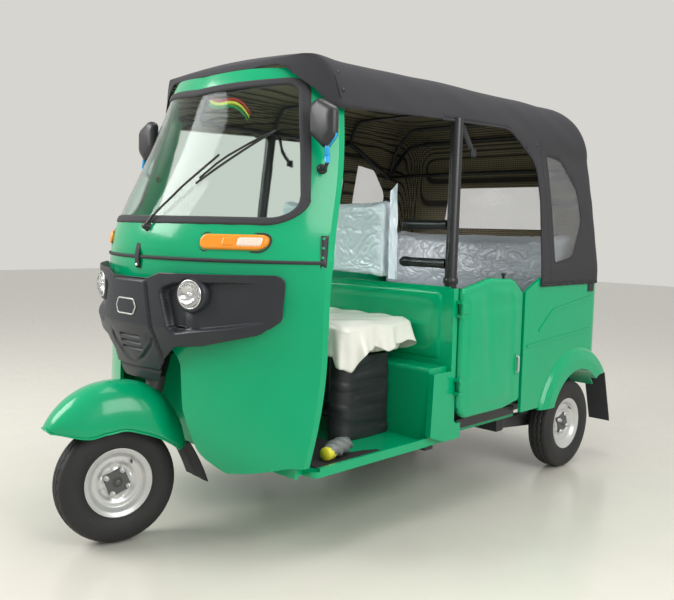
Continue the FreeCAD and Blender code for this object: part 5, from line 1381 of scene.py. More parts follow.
@dataclass(frozen=True)
class Wheel:
    """Scooter-size wheel: zigzag-grooved tyre, pressed rim, hub, nuts and valve.

    Args:
        fitter: body it turns with.
        x: sideways place of its middle.
        y: distance back of its axle.
        side: +1 where its dished face looks to +x.
        word: word that its pieces' names end in.
    """

    fitter: Fitter
    x: float
    y: float
    side: int
    word: str
    around: int = 216
    groove_depth: float = 5.0
    groove_half: float = 2.6
    zigzag: float = 4.0
    waves: int = 36
    hub_turn: float = math.radians(20.0)
    valve_turn: float = 0.9
    wall: tuple[tuple[float, float], ...] = ((36.0, 107.0), (38.5, 118.0), (45.0, 128.0), (50.0, 142.0),
                                             (52.5, 157.0), (52.0, 170.0), (49.5, 182.0), (46.0, 192.0),
                                             (41.5, 199.0))

    def build(self) -> None:
        """Make the tyre, rim and hub."""
        self._tyre()
        self._rim()
        self._hub()

    def _tyre(self) -> None:
        """Make the tyre with its zigzag grooves, shoulder notches and wall rings."""
        crown = np.linspace(-40.0, 40.0, 45)
        tread = np.stack([crown, 207.7 - 7.5 * np.abs(crown / 40.0) ** 2.6], -1)
        wall = np.array(self.wall)
        fine = refined(wall, 3, closed=False)[:-1]
        profile = np.concatenate([fine * (-1.0, 1.0), tread, fine[::-1]])
        angle = np.linspace(0.0, 2.0 * math.pi, self.around, endpoint=False)
        a, x = np.meshgrid(angle, profile[:, 0], indexing="ij")
        r = np.broadcast_to(profile[:, 1], a.shape).copy()
        sweep = np.abs((a * self.waves / (2.0 * math.pi)) % 1.0 - 0.5) * 4.0 - 1.0
        for middle in (-22.0, 0.0, 22.0):
            away = np.abs(x - middle - self.zigzag * sweep)
            r -= self.groove_depth * ease(away, self.groove_half + 1.0, self.groove_half - 0.8) * (r > 199.0)
        notch = ease(np.abs(sweep), 0.35, 0.15) * ease(np.abs(x), 36.0, 40.0) * (r > 178.0)
        r -= 2.2 * notch
        ring = ease(np.abs(r - 136.0), 2.2, 1.0) + ease(np.abs(r - 172.0), 2.0, 0.9)
        x = x + np.sign(x) * 0.9 * ring
        points = np.stack([x, r * np.cos(a), r * np.sin(a)], -1).reshape(-1, 3) + (self.x, self.y, WHEEL_Z)
        count = len(profile)
        faces = [(k * count + i, k * count + i + 1, (k + 1) % self.around * count + i + 1,
                  (k + 1) % self.around * count + i) for k in range(self.around) for i in range(count - 1)]
        self.fitter.mesh(f"tyre_{self.word}", points, faces, TYRE, [self._node("tyre")])

    def _node(self, part: str) -> str:
        """Name of the frame's node for the rim or the tyre."""
        return f"front_{part}" if self.word == "front" else f"rear_{part}_{self.word[5:]}"

    def _rim(self) -> None:
        """Make the pressed rim, dished on its outer face and lobed round its four nuts."""
        s = self.side
        face = [(34.0, 20.0), (44.0, 15.0), (48.0, 10.0), (56.0, 7.5), (62.0, 9.5), (67.0, 15.0),
                (73.0, 18.5), (79.0, 19.5), (84.0, 17.0), (88.0, 18.0), (93.0, 23.0), (96.5, 27.0),
                (99.5, 32.0), (104.0, 35.5), (109.0, 37.0), (113.0, 38.5), (116.5, 41.5), (119.0, 40.5),
                (118.0, 37.5), (113.0, 35.0), (106.0, 33.0), (101.0, 31.0), (97.0, 23.0), (92.0, 13.0),
                (84.0, 8.0), (84.0, -8.0), (96.0, -14.0), (100.0, -32.0), (106.0, -34.0), (115.0, -37.0),
                (118.0, -41.0), (115.0, -42.0), (104.0, -38.0), (96.0, -35.0), (92.0, -20.0), (80.0, -12.0),
                (79.0, 8.0), (73.0, 13.0), (66.0, 10.0), (60.0, 5.0), (48.0, 5.0), (40.0, 11.0), (34.0, 14.0),
                (34.0, 20.0)]
        steps = 96
        points = []
        count = len(face)
        for k in range(steps):
            angle = 2.0 * math.pi * k / steps
            lobe = max(0.0, math.cos(4.0 * angle)) ** 0.6
            for i, (r, d) in enumerate(face):
                lift = 5.0 * lobe * float(ease(np.float64(abs(r - 55.0)), 13.0, 6.0)) if r < 70.0 else 0.0
                points.append((self.x + s * (d + lift), self.y + r * math.cos(angle),
                               WHEEL_Z + r * math.sin(angle)))
        faces = [(k * count + i, (k + 1) % steps * count + i, (k + 1) % steps * count + i + 1,
                  k * count + i + 1) for k in range(steps) for i in range(count - 1)]
        rim = self.fitter.mesh(f"rim_{self.word}", np.array(points), faces, STEEL, [self._node("rim")])
        self.fitter.weld(rim)

    def _hub(self) -> None:
        """Make the square hub plate, cap, nuts on their studs and valve."""
        s = self.side
        middle, axis = (self.x, self.y, WHEEL_Z), (float(s), 0.0, 0.0)
        c, n = math.cos(self.hub_turn), math.sin(self.hub_turn)
        square = box_line((-40.0, -40.0), (40.0, 40.0), 14.0) @ np.array(((c, n), (-n, c)))
        low, high = self.x + s * 8.0, self.x + s * 23.0
        count = len(square)
        rows = [np.column_stack([np.full(count, x), self.y + square[:, 0] * k, WHEEL_Z + square[:, 1] * k])
                for x, k in ((low, 1.0), (high - s * 2.5, 1.0), (high, 0.94))]
        faces = [*band_faces(3, count), tuple(range(2 * count, 3 * count))]
        plate = self.fitter.mesh(f"hub_plate_{self.word}", np.concatenate(rows), faces, AXLE, smooth=False)
        self.fitter.weld(plate)
        cap = [(0.0, 37.0), (9.0, 36.0), (12.0, 33.0), (12.5, 26.0), (17.0, 25.0), (19.0, 22.0)]
        self.fitter.lathe(f"hub_cap_{self.word}", cap, middle, axis, AXLE, steps=32)
        nut = [(0.0, 33.0), (8.0, 33.0), (9.6, 31.0), (9.6, 22.0), (11.0, 22.0)]
        stud = [(0.0, 38.0), (3.6, 38.0), (4.2, 37.0), (4.2, 31.0)]
        for k in range(4):
            a = self.hub_turn + math.pi / 4.0 + k * math.pi / 2.0
            place = (self.x, self.y + 42.0 * math.cos(a), WHEEL_Z + 42.0 * math.sin(a))
            self.fitter.lathe(f"wheel_nut_{self.word}_{k}", nut, place, axis, STEEL, steps=6)
            self.fitter.lathe(f"wheel_stud_{self.word}_{k}", stud, place, axis, STEEL, steps=12)
        valve = [(self.x + s * out, self.y + r * math.cos(self.valve_turn),
                  WHEEL_Z + r * math.sin(self.valve_turn)) for out, r in ((20.0, 86.0), (34.0, 78.0))]
        self.fitter.tube(f"valve_{self.word}", valve, 3.2, AXLE)


@dataclass(frozen=True)
class FrontEnd:
    """Steered fender with its rolled edge, mud flap, spring and brake drum."""

    # Angle round the wheel from the rear, crown radius, half width, side depth
    sections: tuple[tuple[float, float, float, float], ...] = (
        (27.0, 270.0, 101.0, 50.0), (44.0, 308.0, 102.0, 108.0), (70.0, 349.0, 106.0, 164.0),
        (88.0, 352.0, 106.0, 162.0), (106.0, 348.0, 104.0, 156.0), (130.0, 326.0, 78.0, 88.0),
        (138.0, 316.0, 48.0, 20.0))
    skin: float = 3.0
    flap_top: tuple[float, float] = (239.0, WHEEL_Z + 118.0)

    def _section(self, angle: float) -> tuple[float, float, float]:
        """Section of the fender, eased between those given.

        Args:
            angle: angle round the wheel from the rear, in degrees.

        Returns:
            Crown radius, half width and side depth.
        """
        table = np.array(self.sections)
        rows = []
        for k in (1, 2, 3):
            slopes = np.gradient(table[:, k], table[:, 0])
            i = int(np.clip(np.searchsorted(table[:, 0], angle) - 1, 0, len(table) - 2))
            a0, a1 = table[i, 0], table[i + 1, 0]
            t = (angle - a0) / (a1 - a0)
            h = a1 - a0
            rows.append((2 * t ** 3 - 3 * t ** 2 + 1) * table[i, k]
                        + (t ** 3 - 2 * t ** 2 + t) * h * slopes[i]
                        + (3 * t ** 2 - 2 * t ** 3) * table[i + 1, k] + (t ** 3 - t ** 2) * h * slopes[i + 1])
        return float(rows[0]), float(rows[1]), float(rows[2])

    def _point(self, angle: float, share: float) -> Point:
        """Point of the fender.

        Args:
            angle: angle round the wheel from the rear, in degrees.
            share: share across it, -1 to 1.

        Returns:
            The point in the working frame.
        """
        crown, half, depth = self._section(angle)
        if angle > 130.0:
            half *= math.sqrt(max(0.0, 1.0 - ((angle - 130.0) / 9.0) ** 2)) * 0.4 + 0.6
        turn = share * math.pi / 2.0
        x = half * math.copysign(abs(math.sin(turn)) ** 0.8, turn)
        r = crown - depth * (1.0 - max(math.cos(turn), 0.0) ** 0.84)
        a = math.radians(angle)
        return (x, r * math.cos(a), WHEEL_Z + r * math.sin(a))

    def build(self) -> None:
        """Make the steered sheet metal and its running gear."""
        angles = np.linspace(27.0, 138.0, 64)
        shares = np.linspace(-1.0, 1.0, 49)
        points = np.array([self._point(float(a), float(s)) for a in angles for s in shares])
        faces = grid_faces(len(angles), len(shares))
        fender = STEERING.mesh("front_fender_sheet", points, faces, PAINT, ["front_fender"],
                               thickness=self.skin)
        STEERING.weld(fender, 0.00001)
        edge = [self._point(float(a), -1.0) for a in angles] + [self._point(138.0, float(s)) for s in shares]
        edge += [self._point(float(a), 1.0) for a in angles[::-1]] + [self._point(27.0, float(s))
                                                                      for s in shares[::-1]]
        STEERING.tube("front_fender_rolled_edge", edge, 3.4, PAINT, closed=True)
        self._flap()
        self._spring()

    def _flap(self) -> None:
        """Hang the slightly bowed flap behind the wheel."""
        top_y, top_z = self.flap_top
        rows = []
        for t in np.linspace(0.0, 1.0, 12):
            bow = 9.0 * math.sin(math.pi * t)
            half = 96.0 - 4.0 * t
            rows += [(x, top_y + 68.0 * t + bow * 0.6 + 0.9 * math.sin(x * 0.09), top_z - 152.0 * t)
                     for x in np.linspace(-half, half, 15)]
        STEERING.mesh("front_flap", np.array(rows), grid_faces(12, 15), RUBBER, ["front_mudflap"],
                      thickness=4.0)

    def _spring(self) -> None:
        """Make the spring behind the fork leg, and the brake drum."""
        line = coil((-72.0, 52.0, 268.0), (-72.0, 97.0, 414.0), 21.0, 7.0, 168, tilted=True)
        STEERING.tube("front_spring", line, 3.6, BLACK)
        STEERING.lathe("front_brake_drum", [(0.0, -46.0), (58.0, -46.0), (66.0, -42.0), (70.0, -34.0),
                                            (70.0, -12.0), (64.0, -8.0)], (0.0, 0.0, WHEEL_Z),
                       (1.0, 0.0, 0.0), AXLE)


@dataclass(frozen=True)
class SideSheets:
    """Pressed doors."""

    out: float = 637.0
    # Outline of a door: distance back, height, corner radius
    door: tuple[Point, ...] = ((1106.0, 398.0, 60.0), (1106.0, 874.0, 16.0), (1300.0, 914.0, 160.0),
                               (1470.0, 906.0, 60.0), (1548.0, 844.0, 10.0), (1548.0, 384.0, 20.0),
                               (1420.0, 364.0, 60.0), (1150.0, 364.0, 60.0))
    hinge: tuple[float, float] = (645.0, 1098.0)
    knob: Point = (626.0, 1400.0, 888.0)
    turn_in: float = 14.0
    sheet: float = 2.5
    cell: float = 7.0
    edge: float = 12.0

    def _door_relief(self, y: Array, z: Array, outline: Array) -> Array:
        """Pressed relief of a door: rolled edge, raised field and its swages.

        Args:
            y: distances back.
            z: heights.
            outline: outline of the door.

        Returns:
            How far out each place stands.
        """
        inside = -signed_distance(np.stack([y, z], -1), outline)
        rim = self.edge - np.sqrt(np.maximum(self.edge ** 2 - np.maximum(self.edge - inside, 0.0) ** 2, 0.0))
        field = ease(inside, 26.0, 62.0)
        height = -rim + 3.4 * field
        height -= 3.0 * np.exp(-((y - 1290.0 + (z - 700.0) * 0.10) / 30.0) ** 2) * field * ease(z, 460.0,
                                                                                                560.0)
        height -= 2.2 * np.exp(-((y - 1455.0 + (z - 640.0) * 0.06) / 26.0) ** 2) * field
        height -= 2.6 * np.exp(-((z - 800.0 - (y - 1300.0) * 0.06) / 30.0) ** 2) * field * ease(y, 1180.0,
                                                                                                1400.0)
        height += 1.6 * np.sin(y * 0.013 + z * 0.008) * field
        return height

    def build(self) -> None:
        """Make both doors with their handles, knobs and hinges."""
        outline = rounded(self.door)
        x, y, z = self.knob
        knob = [(0.0, 44.0), (8.0, 43.0), (10.0, 40.0), (10.0, 34.0), (5.0, 32.0), (5.0, 0.0)]
        barrel = [(0.0, 20.0), (7.0, 20.0), (7.5, 18.0), (7.5, -18.0), (7.0, -20.0), (0.0, -20.0)]
        up = (0.0, 0.0, 1.0)
        for side, word in SIDES:
            fitter = Fitter(f"door_{word}_body")

            def place(back: Array, height: Array, side: int = side) -> Array:
                """Lay the pressing on the door's outer face."""
                return np.stack([side * (self.out + self._door_relief(back, height, outline)), back, height],
                                -1)

            points, faces = relief_sheet(outline, self.cell, place)
            door = fitter.mesh(f"door_{word}_pressing", points, faces, PAINT, [f"door_{word}"])
            deepen(door, Vector((-side * self.turn_in * MM, 0.0, 0.0)), self.sheet)
            fitter.lathe(f"door_knob_{word}", knob, (side * x, y, z), up, BLACK, steps=24)
            bar = filleted([(side * 634.0, 1503.0, 512.0), (side * 652.0, 1503.0, 514.0),
                            (side * 652.0, 1503.0, 578.0), (side * 634.0, 1503.0, 580.0)], 7.0)
            fitter.tube(f"door_handle_{word}", bar, 4.0, STEEL)
            fitter.block(f"door_latch_{word}", (side * 634.0, 1494.0, 500.0), (side * 641.5, 1512.0, 592.0),
                         PAINT)
            for level in (500.0, 800.0):
                fitter.lathe(f"door_hinge_barrel_{word}_{int(level)}", barrel,
                             (side * self.hinge[0], self.hinge[1], level), up, PAINT, steps=24)
                fitter.block(f"door_hinge_leaf_{word}_{int(level)}", (side * 636.0, 1100.0, level - 20.0),
                             (side * 643.0, 1140.0, level + 20.0), PAINT, 1.5)


def deepen(sheet: bpy.types.Object, way: Vector, thickness: float) -> None:
    """Turn a sheet's open edge, and give it all a thickness.

    Args:
        sheet: the piece.
        way: how far the edge turns, in metres.
        thickness: its thickness in millimetres.
    """
    shape = bmesh.new()
    shape.from_mesh(sheet.data)
    border = [e for e in shape.edges if e.is_boundary]
    made = bmesh.ops.extrude_edge_only(shape, edges=border)
    bmesh.ops.translate(shape, verts=[v for v in made["geom"] if isinstance(v, bmesh.types.BMVert)], vec=way)
    bmesh.ops.recalc_face_normals(shape, faces=shape.faces)
    middle = sum((f.normal.dot(way) * f.calc_area() for f in shape.faces), 0.0)
    if middle > 0.0:
        bmesh.ops.reverse_faces(shape, faces=shape.faces)
    for face in shape.faces:
        face.smooth = True
    shape.to_mesh(sheet.data)
    shape.free()
    solid = sheet.modifiers.new("thickness", "SOLIDIFY")
    solid.thickness, solid.offset = thickness * MM, -1.0


@dataclass(frozen=True)
class Mirrors:
    """Mirrors on the windscreen's pillars, still in their blue film."""

    # Outline of the head in the front view: x, z, corner radius
    head: tuple[Point, ...] = ((466.0, 1404.0, 18.0), (536.0, 1352.0, 20.0), (580.0, 1394.0, 22.0),
                               (580.0, 1484.0, 26.0), (502.0, 1522.0, 22.0), (466.0, 1506.0, 18.0))
    front: float = 430.0
    back: float = 466.0
    film_top: float = 1400.0

    def build(self) -> None:
        """Make both mirrors."""
        outline = rounded(self.head, 5)
        rows = ((self.front + 2.0, 0.62), (self.front + 5.0, 0.8), (self.front + 12.0, 0.95),
                (self.front + 22.0, 1.0), (self.back - 3.0, 1.0), (self.back, 0.97), (self.back, 0.90),
                (self.back - 3.0, 0.88))
        count = len(outline)
        (_, pane), (_, wrap) = shrunk_loops(outline, ((0.0, 0.89), (0.0, 1.012)))
        for side, word in SIDES:
            loops = [np.column_stack([side * flat[:, 0], np.full(count, y), flat[:, 1]])
                     for y, flat in shrunk_loops(outline, rows)]
            shell = VEHICLE.mesh(f"mirror_shell_{word}", np.concatenate(loops),
                                 [*band_faces(len(rows), count), tuple(range(count))], HOUSING,
                                 ["mirrors"] if side > 0 else ())
            VEHICLE.weld(shell)
            glass = np.column_stack([side * pane[:, 0], np.full(count, self.back - 2.6), pane[:, 1]])
            VEHICLE.mesh(f"mirror_glass_{word}", glass, [tuple(range(count))], MIRROR, smooth=False)
            stalk = filleted([(side * 484.0, 476.0, 1290.0), (side * 530.0, 454.0, 1290.0),
                              (side * 548.0, 450.0, 1312.0), (side * 546.0, 450.0, 1392.0)], 14.0)
            VEHICLE.tube(f"mirror_stalk_{word}", stalk, 6.5, BLACK)
            film = filleted([(side * 548.0, 449.0, 1308.0), (side * 547.0, 448.0, 1330.0),
                             (side * 546.0, 448.0, 1362.0)], 20.0)
            swell = [1.0 + 0.16 * math.sin(k * 2.1) for k in range(len(film))]
            VEHICLE.tube(f"mirror_stalk_film_{word}", film, 9.0, BLUE_FILM, radii=swell)
            VEHICLE.lathe(f"mirror_base_{word}", [(0.0, 20.0), (11.0, 19.0), (16.0, 14.0), (19.0, 4.0),
                                                  (19.0, -8.0)], (side * 494.0, 476.0, 1290.0),
                          (side * 0.8, -0.55, 0.0), BLACK, steps=32)
            band = [np.column_stack([side * wrap[:, 0], np.full(count, y), wrap[:, 1]])
                    for y in (self.front + 20.0, self.back - 6.0)]
            faces = [(i, (i + 1) % count, count + (i + 1) % count, count + i) for i in range(count)
                     if wrap[i, 1] < self.film_top]
            VEHICLE.mesh(f"mirror_head_film_{word}", np.concatenate(band), faces, BLUE_FILM)


@dataclass(frozen=True)
class FrontTrim:
    """Turn lamps, seam bead and latch strap."""

    lamp_z: float = 1043.0
    bead_z: float = 984.0

    def _lens(self, side: int, word: str, low: float, high: float, finish: Finish, name: str,
              proud: float) -> None:
        """Make the body of a turn lamp, or a ribbed lens on it.

        Args:
            side: +1 for the left lamp, -1 for the right one.
            word: end of the piece's name.
            low: its inner end.
            high: its outer end.
            finish: its finish.
            name: which piece of the lamp it is.
            proud: how far it stands out.
        """
        body = name == "body"

        def place(u: Array, v: Array) -> Array:
            """Lay the lens on the windscreen's frame, with its edge rolled and its ribs."""
            inside = -signed_distance(np.stack([u, v], -1), outline)
            edge = 8.0 - np.sqrt(np.maximum(64.0 - np.maximum(8.0 - inside, 0.0) ** 2, 0.0))
            rib = 0.9 * np.abs(np.sin(u * math.pi / 5.0)) * ease(inside, 3.0, 7.0) * (not body)
            points = SCREEN_FRONT.wrap(np.stack([u, v], -1), proud - edge + rib)
            points[:, 0] *= side
            return points

        half = 25.0 if body else 17.0
        outline = box_line((low, self.lamp_z - half), (high, self.lamp_z + half), 22.0 if body else 9.0)
        points, faces = relief_sheet(outline, 2.5, place)
        lens = VEHICLE.mesh(f"turn_lamp_{name}_{word}", points, faces, finish,
                            ["turn_indicators"] if side > 0 and body else ())
        deepen(lens, Vector((0.0, (7.0 if body else 1.0) * MM, 0.0)), 1.0)

    def build(self) -> None:
        """Make all that is fitted to the front sheet metal."""
        for side, word in SIDES:
            self._lens(side, word, 270.0, 458.0, AMBER, "body", 14.0)
            self._lens(side, word, 338.0, 378.0, AMBER, "ribbed", 15.6)
            self._lens(side, word, 380.0, 448.0, CLEAR_LENS, "clear", 15.8)
            ring = SCREEN_FRONT.wrap(box_line((264.0, self.lamp_z - 30.0), (464.0, self.lamp_z + 30.0), 26.0),
                                     2.0)
            ring[:, 0] *= side
            VEHICLE.tube(f"turn_lamp_gasket_{word}", [tuple(p) for p in ring], 3.0, RUBBER, closed=True)
        xs = np.linspace(-590.0, 590.0, 90)
        bead = COWL_FRONT.wrap(np.column_stack([xs, np.full(90, self.bead_z)]), 1.5)
        VEHICLE.tube("cowl_bead", [tuple(p) for p in bead], 6.0, RUBBER, ["cowl_trim"])
        strap = [tuple(front.wrap(np.array([(0.0, z)]), proud)[0]) for front, z, proud in
                 ((COWL_FRONT, 946.0, 8.0), (COWL_FRONT, 960.0, 11.0), (COWL_FRONT, self.bead_z, 13.0),
                  (SCREEN_FRONT, 1000.0, 11.0), (SCREEN_FRONT, 1034.0, 7.0))]
        rows = [(x + d, y + abs(d) * 0.08, z) for x, y, z in strap for d in (-12.0, -10.0, 0.0, 10.0, 12.0)]
        VEHICLE.mesh("latch_strap", np.array(rows), grid_faces(5, 5), RUBBER, thickness=5.0)
        low = COWL_FRONT.wrap(np.array([(0.0, 956.0)]), 12.0)[0]
        VEHICLE.lathe("latch_rivet", [(0.0, 4.5), (4.0, 3.6), (6.5, 0.0)], tuple(low), (0.0, -1.0, 0.0),
                      CHROME, steps=16)


@dataclass(frozen=True)
class Padding:
    """Stuffed seat part in its packing film, swollen by a short cloth simulation.

    Args:
        name: name of the piece.
        node: node of the frame that it stands for.
        section: (y, z, corner radius) outline that is swept across the cab.
        half: half of its width.
        finish: finish of its film.
        fill: how tightly it is stuffed, from 0 to 1; not used.
        folds: depth of the film's folds, in millimetres.
        soft: distance over which it is held inside its room.
        voxel: size of the mesh that is swollen.
        inset: how much smaller it starts.
        cap: how far a point may move.
        frames: steps of the simulation.
    """

    name: str
    node: str
    section: tuple[Point, ...]
    half: float
    finish: Finish
    fill: float
    folds: float = 7.0
    soft: float = 7.0
    voxel: float = 9.0
    inset: float = 11.0
    cap: float = 24.0
    frames: int = 20

    def build(self) -> None:
        outline = rounded(self.section, 5)
        middle = outline.mean(0)
        away = outline - middle
        inner = middle + away * (1.0 - self.inset / np.linalg.norm(away, axis=1))[:, None]
        count = len(inner)
        half = self.half - self.inset
        rows = []
        for x, k in ((-half, 0.86), (-half + 9.0, 0.97), (-half + 26.0, 1.0), (half - 26.0, 1.0),
                     (half - 9.0, 0.97), (half, 0.86)):
            flat = middle + (inner - middle) * k
            rows.append(np.column_stack([np.full(count, x), flat]))
        faces = [*band_faces(6, count), tuple(range(count)), tuple(range(5 * count, 6 * count))]
        piece = VEHICLE.mesh(self.name, np.concatenate(rows), faces, self.finish, [self.node])
        VEHICLE.weld(piece)
        grid = piece.modifiers.new("grid", "REMESH")
        grid.mode, grid.voxel_size = "VOXEL", self.voxel * MM
        self._apply(piece)
        self._swell(piece, outline)
        level = piece.modifiers.new("level", "SUBSURF")
        level.levels = level.render_levels = 1
        self._apply(piece)
        self._fold(piece)
        for polygon in piece.data.polygons:
            polygon.use_smooth = True

    @staticmethod
    def _apply(piece: bpy.types.Object) -> None:
        """Turn the piece's modifiers into its mesh."""
        made = bpy.data.meshes.new_from_object(piece.evaluated_get(bpy.context.evaluated_depsgraph_get()))
        piece.modifiers.clear()
        piece.data = made

    def _swell(self, piece: bpy.types.Object, outline: Array) -> None:
        """Blow the piece up, and hold it inside the room of its node.

        Args:
            piece: the piece.
            outline: outline of its section.
        """
        count = len(piece.data.vertices)
        rest = np.empty(count * 3)
        piece.data.vertices.foreach_get("co", rest)
        rest = rest.reshape(-1, 3)
        moved = rest.copy()
        cloth = piece.modifiers.new("cloth", "CLOTH")
        cloth.settings.quality = 4
        cloth.settings.mass = 0.3
        cloth.settings.tension_stiffness = cloth.settings.compression_stiffness = 9.0
        cloth.settings.bending_stiffness = 1.2
        cloth.settings.use_pressure = True
        cloth.settings.uniform_pressure_force = 4.0
        cloth.settings.effector_weights.gravity = 0.0
        for step in range(1, self.frames + 1):
            bpy.context.scene.frame_set(step)
        blown = piece.evaluated_get(bpy.context.evaluated_depsgraph_get()).to_mesh()
        flat = np.empty(count * 3)
        blown.vertices.foreach_get("co", flat)
        moved = flat.reshape(-1, 3)
        piece.modifiers.clear()
        bpy.context.scene.frame_set(1)
        normals = np.array([tuple(v.normal) for v in piece.data.vertices])
        shift = moved - rest
        length = np.maximum(np.linalg.norm(shift, axis=1, keepdims=True), 1e-9)
        moved = rest + shift * np.minimum(1.0, self.cap * MM / length)
        moved += normals * (0.6 * self.inset * MM)
        low = np.array((-self.half, outline[:, 0].min() - ORIGIN_Y, outline[:, 1].min())) * MM
        high = np.array((self.half, outline[:, 0].max() - ORIGIN_Y, outline[:, 1].max())) * MM
        soft = self.soft * MM
        over = np.maximum(moved - high + soft, 0.0)
        under = np.maximum(low + soft - moved, 0.0)
        moved += soft * (np.tanh(over / soft) - np.tanh(under / soft)) - over + under
        piece.data.vertices.foreach_set("co", moved.ravel())
        piece.data.update()

    def _fold(self, piece: bpy.types.Object) -> None:
        """Press the film's folds and fine creases into the piece.

        Args:
            piece: the piece.
        """
        place = np.array([tuple(v.co) for v in piece.data.vertices])
        normals = np.array([tuple(v.normal) for v in piece.data.vertices])
        depth = []
        for x, y, z in place * 10.0:
            broad = noise.noise(Vector((x * 0.9 + 3.0, y * 1.3, z * 1.6)))
            ridge = 1.0 - min(1.0, 5.0 * abs(noise.noise(Vector((x * 1.4 + broad, y * 2.6,
                                                                 z * 2.1 + 2.0 * broad)))))
            fine = 1.0 - min(1.0, 4.0 * abs(noise.noise(Vector((x * 3.3, y * 4.0 + broad, z * 4.6)))))
            depth.append(0.55 * (0.5 + broad) + 0.5 * ridge * ridge + 0.2 * fine)
        place -= normals * (np.array(depth) * self.folds * MM)[:, None]
        piece.data.vertices.foreach_set("co", place.ravel())
        piece.data.update()


@dataclass(frozen=True)
class SeatFilm:
    """Loose packing film thrown over the driver's cushion, its lower edge in scallops."""

    half: float = 441.0
    front: float = 650.0
    back: float = 1040.0
    top: float = 752.0
    corner: float = 46.0
    steps: int = 260
    drops: int = 16

    def _around(self) -> Array:
        """Closed line round the top of the cushion, in even steps."""
        outline = rounded([(self.half, self.front, self.corner), (self.half, self.back, 30.0),
                           (-self.half, self.back, 30.0), (-self.half, self.front, self.corner)], 8)
        return evenly(np.vstack([outline, outline[:1]]), self.steps, endpoint=False)

    def build(self) -> None:
        """Make the film from its middle on the cushion out and down to its edge."""
        around = self._around()
        middle = np.array((0.0, (self.front + self.back) / 2.0))
        out = around - middle
        out /= np.linalg.norm(out, axis=1, keepdims=True)
        k = np.arange(self.steps)
        wave = np.sin(k * 0.29) * 0.5 + np.sin(k * 0.13 + 1.0) * 0.35 + np.sin(k * 0.71 + 2.0) * 0.15
        facing = ease(-(around[:, 1] - middle[1]), -60.0, 150.0)
        depth = 92.0 + 30.0 * wave + 48.0 * facing * (0.6 + 0.4 * wave)
        rows = []
        for share in np.linspace(0.06, 1.0, 22):
            flat = middle + (around - middle) * share
            lift = 3.0 + 3.5 * np.sin(flat[:, 0] * 0.022 + flat[:, 1] * 0.012) * (1.0 - share)
            lift += 3.0 * np.sin(flat[:, 0] * 0.045 - flat[:, 1] * 0.03)
            edge = 14.0 * max(0.0, (share - 0.93) / 0.07) ** 2
            rows.append(np.column_stack([flat, self.top + lift - edge]))
        last = rows[-1]
        for step in range(1, self.drops + 1):
            t = step / self.drops
            flare = 7.0 + 16.0 * t + 13.0 * t * np.sin(k * 0.47 + 1.3) + 5.0 * t * np.sin(k * 1.1)
            flat = last[:, :2] + out * flare[:, None]
            rows.append(np.column_stack([flat, last[:, 2] - depth * t]))
        points = np.concatenate(rows)
        count = self.steps
        faces = [*band_faces(len(rows), count), tuple(range(count))]
        film = VEHICLE.mesh("cushion_film", points, faces, CREAM_WRAP, thickness=1.0)


@dataclass(frozen=True)
class BackFilm:
    """End of the driver's backrest film: a folded strip down its side, and a corner that stands up."""

    foot: float = 900.0
    rise: float = 338.0
    steps: int = 44
    columns: int = 16

    def build(self) -> None:
        """Make the flap, crumpled all over and drawn up to a corner at its top."""
        rows = []
        for t in np.linspace(0.0, 1.0, self.steps):
            z = self.foot + self.rise * t
            for u in np.linspace(0.0, 1.0, self.columns):
                crumple = 16.0 * noise.noise(Vector((u * 2.0, t * 9.0, 0.3)))
                crumple += 6.0 * noise.noise(Vector((u * 5.0, t * 23.0, 4.0)))
                corner = 46.0 * max(0.0, (t - 0.86) / 0.14) ** 1.6 * (0.25 + 0.75 * u)
                rows.append((336.0 + 21.0 * u * (0.7 + 0.3 * t) + 0.30 * crumple,
                             1014.0 + 40.0 * u * (1.0 - 0.5 * t) - 0.8 * crumple * u,
                             z + corner + 0.2 * crumple))
        flap = VEHICLE.mesh("back_film_flap", np.array(rows), grid_faces(self.steps, self.columns), WRAP,
                            thickness=0.8, subdivide=1)


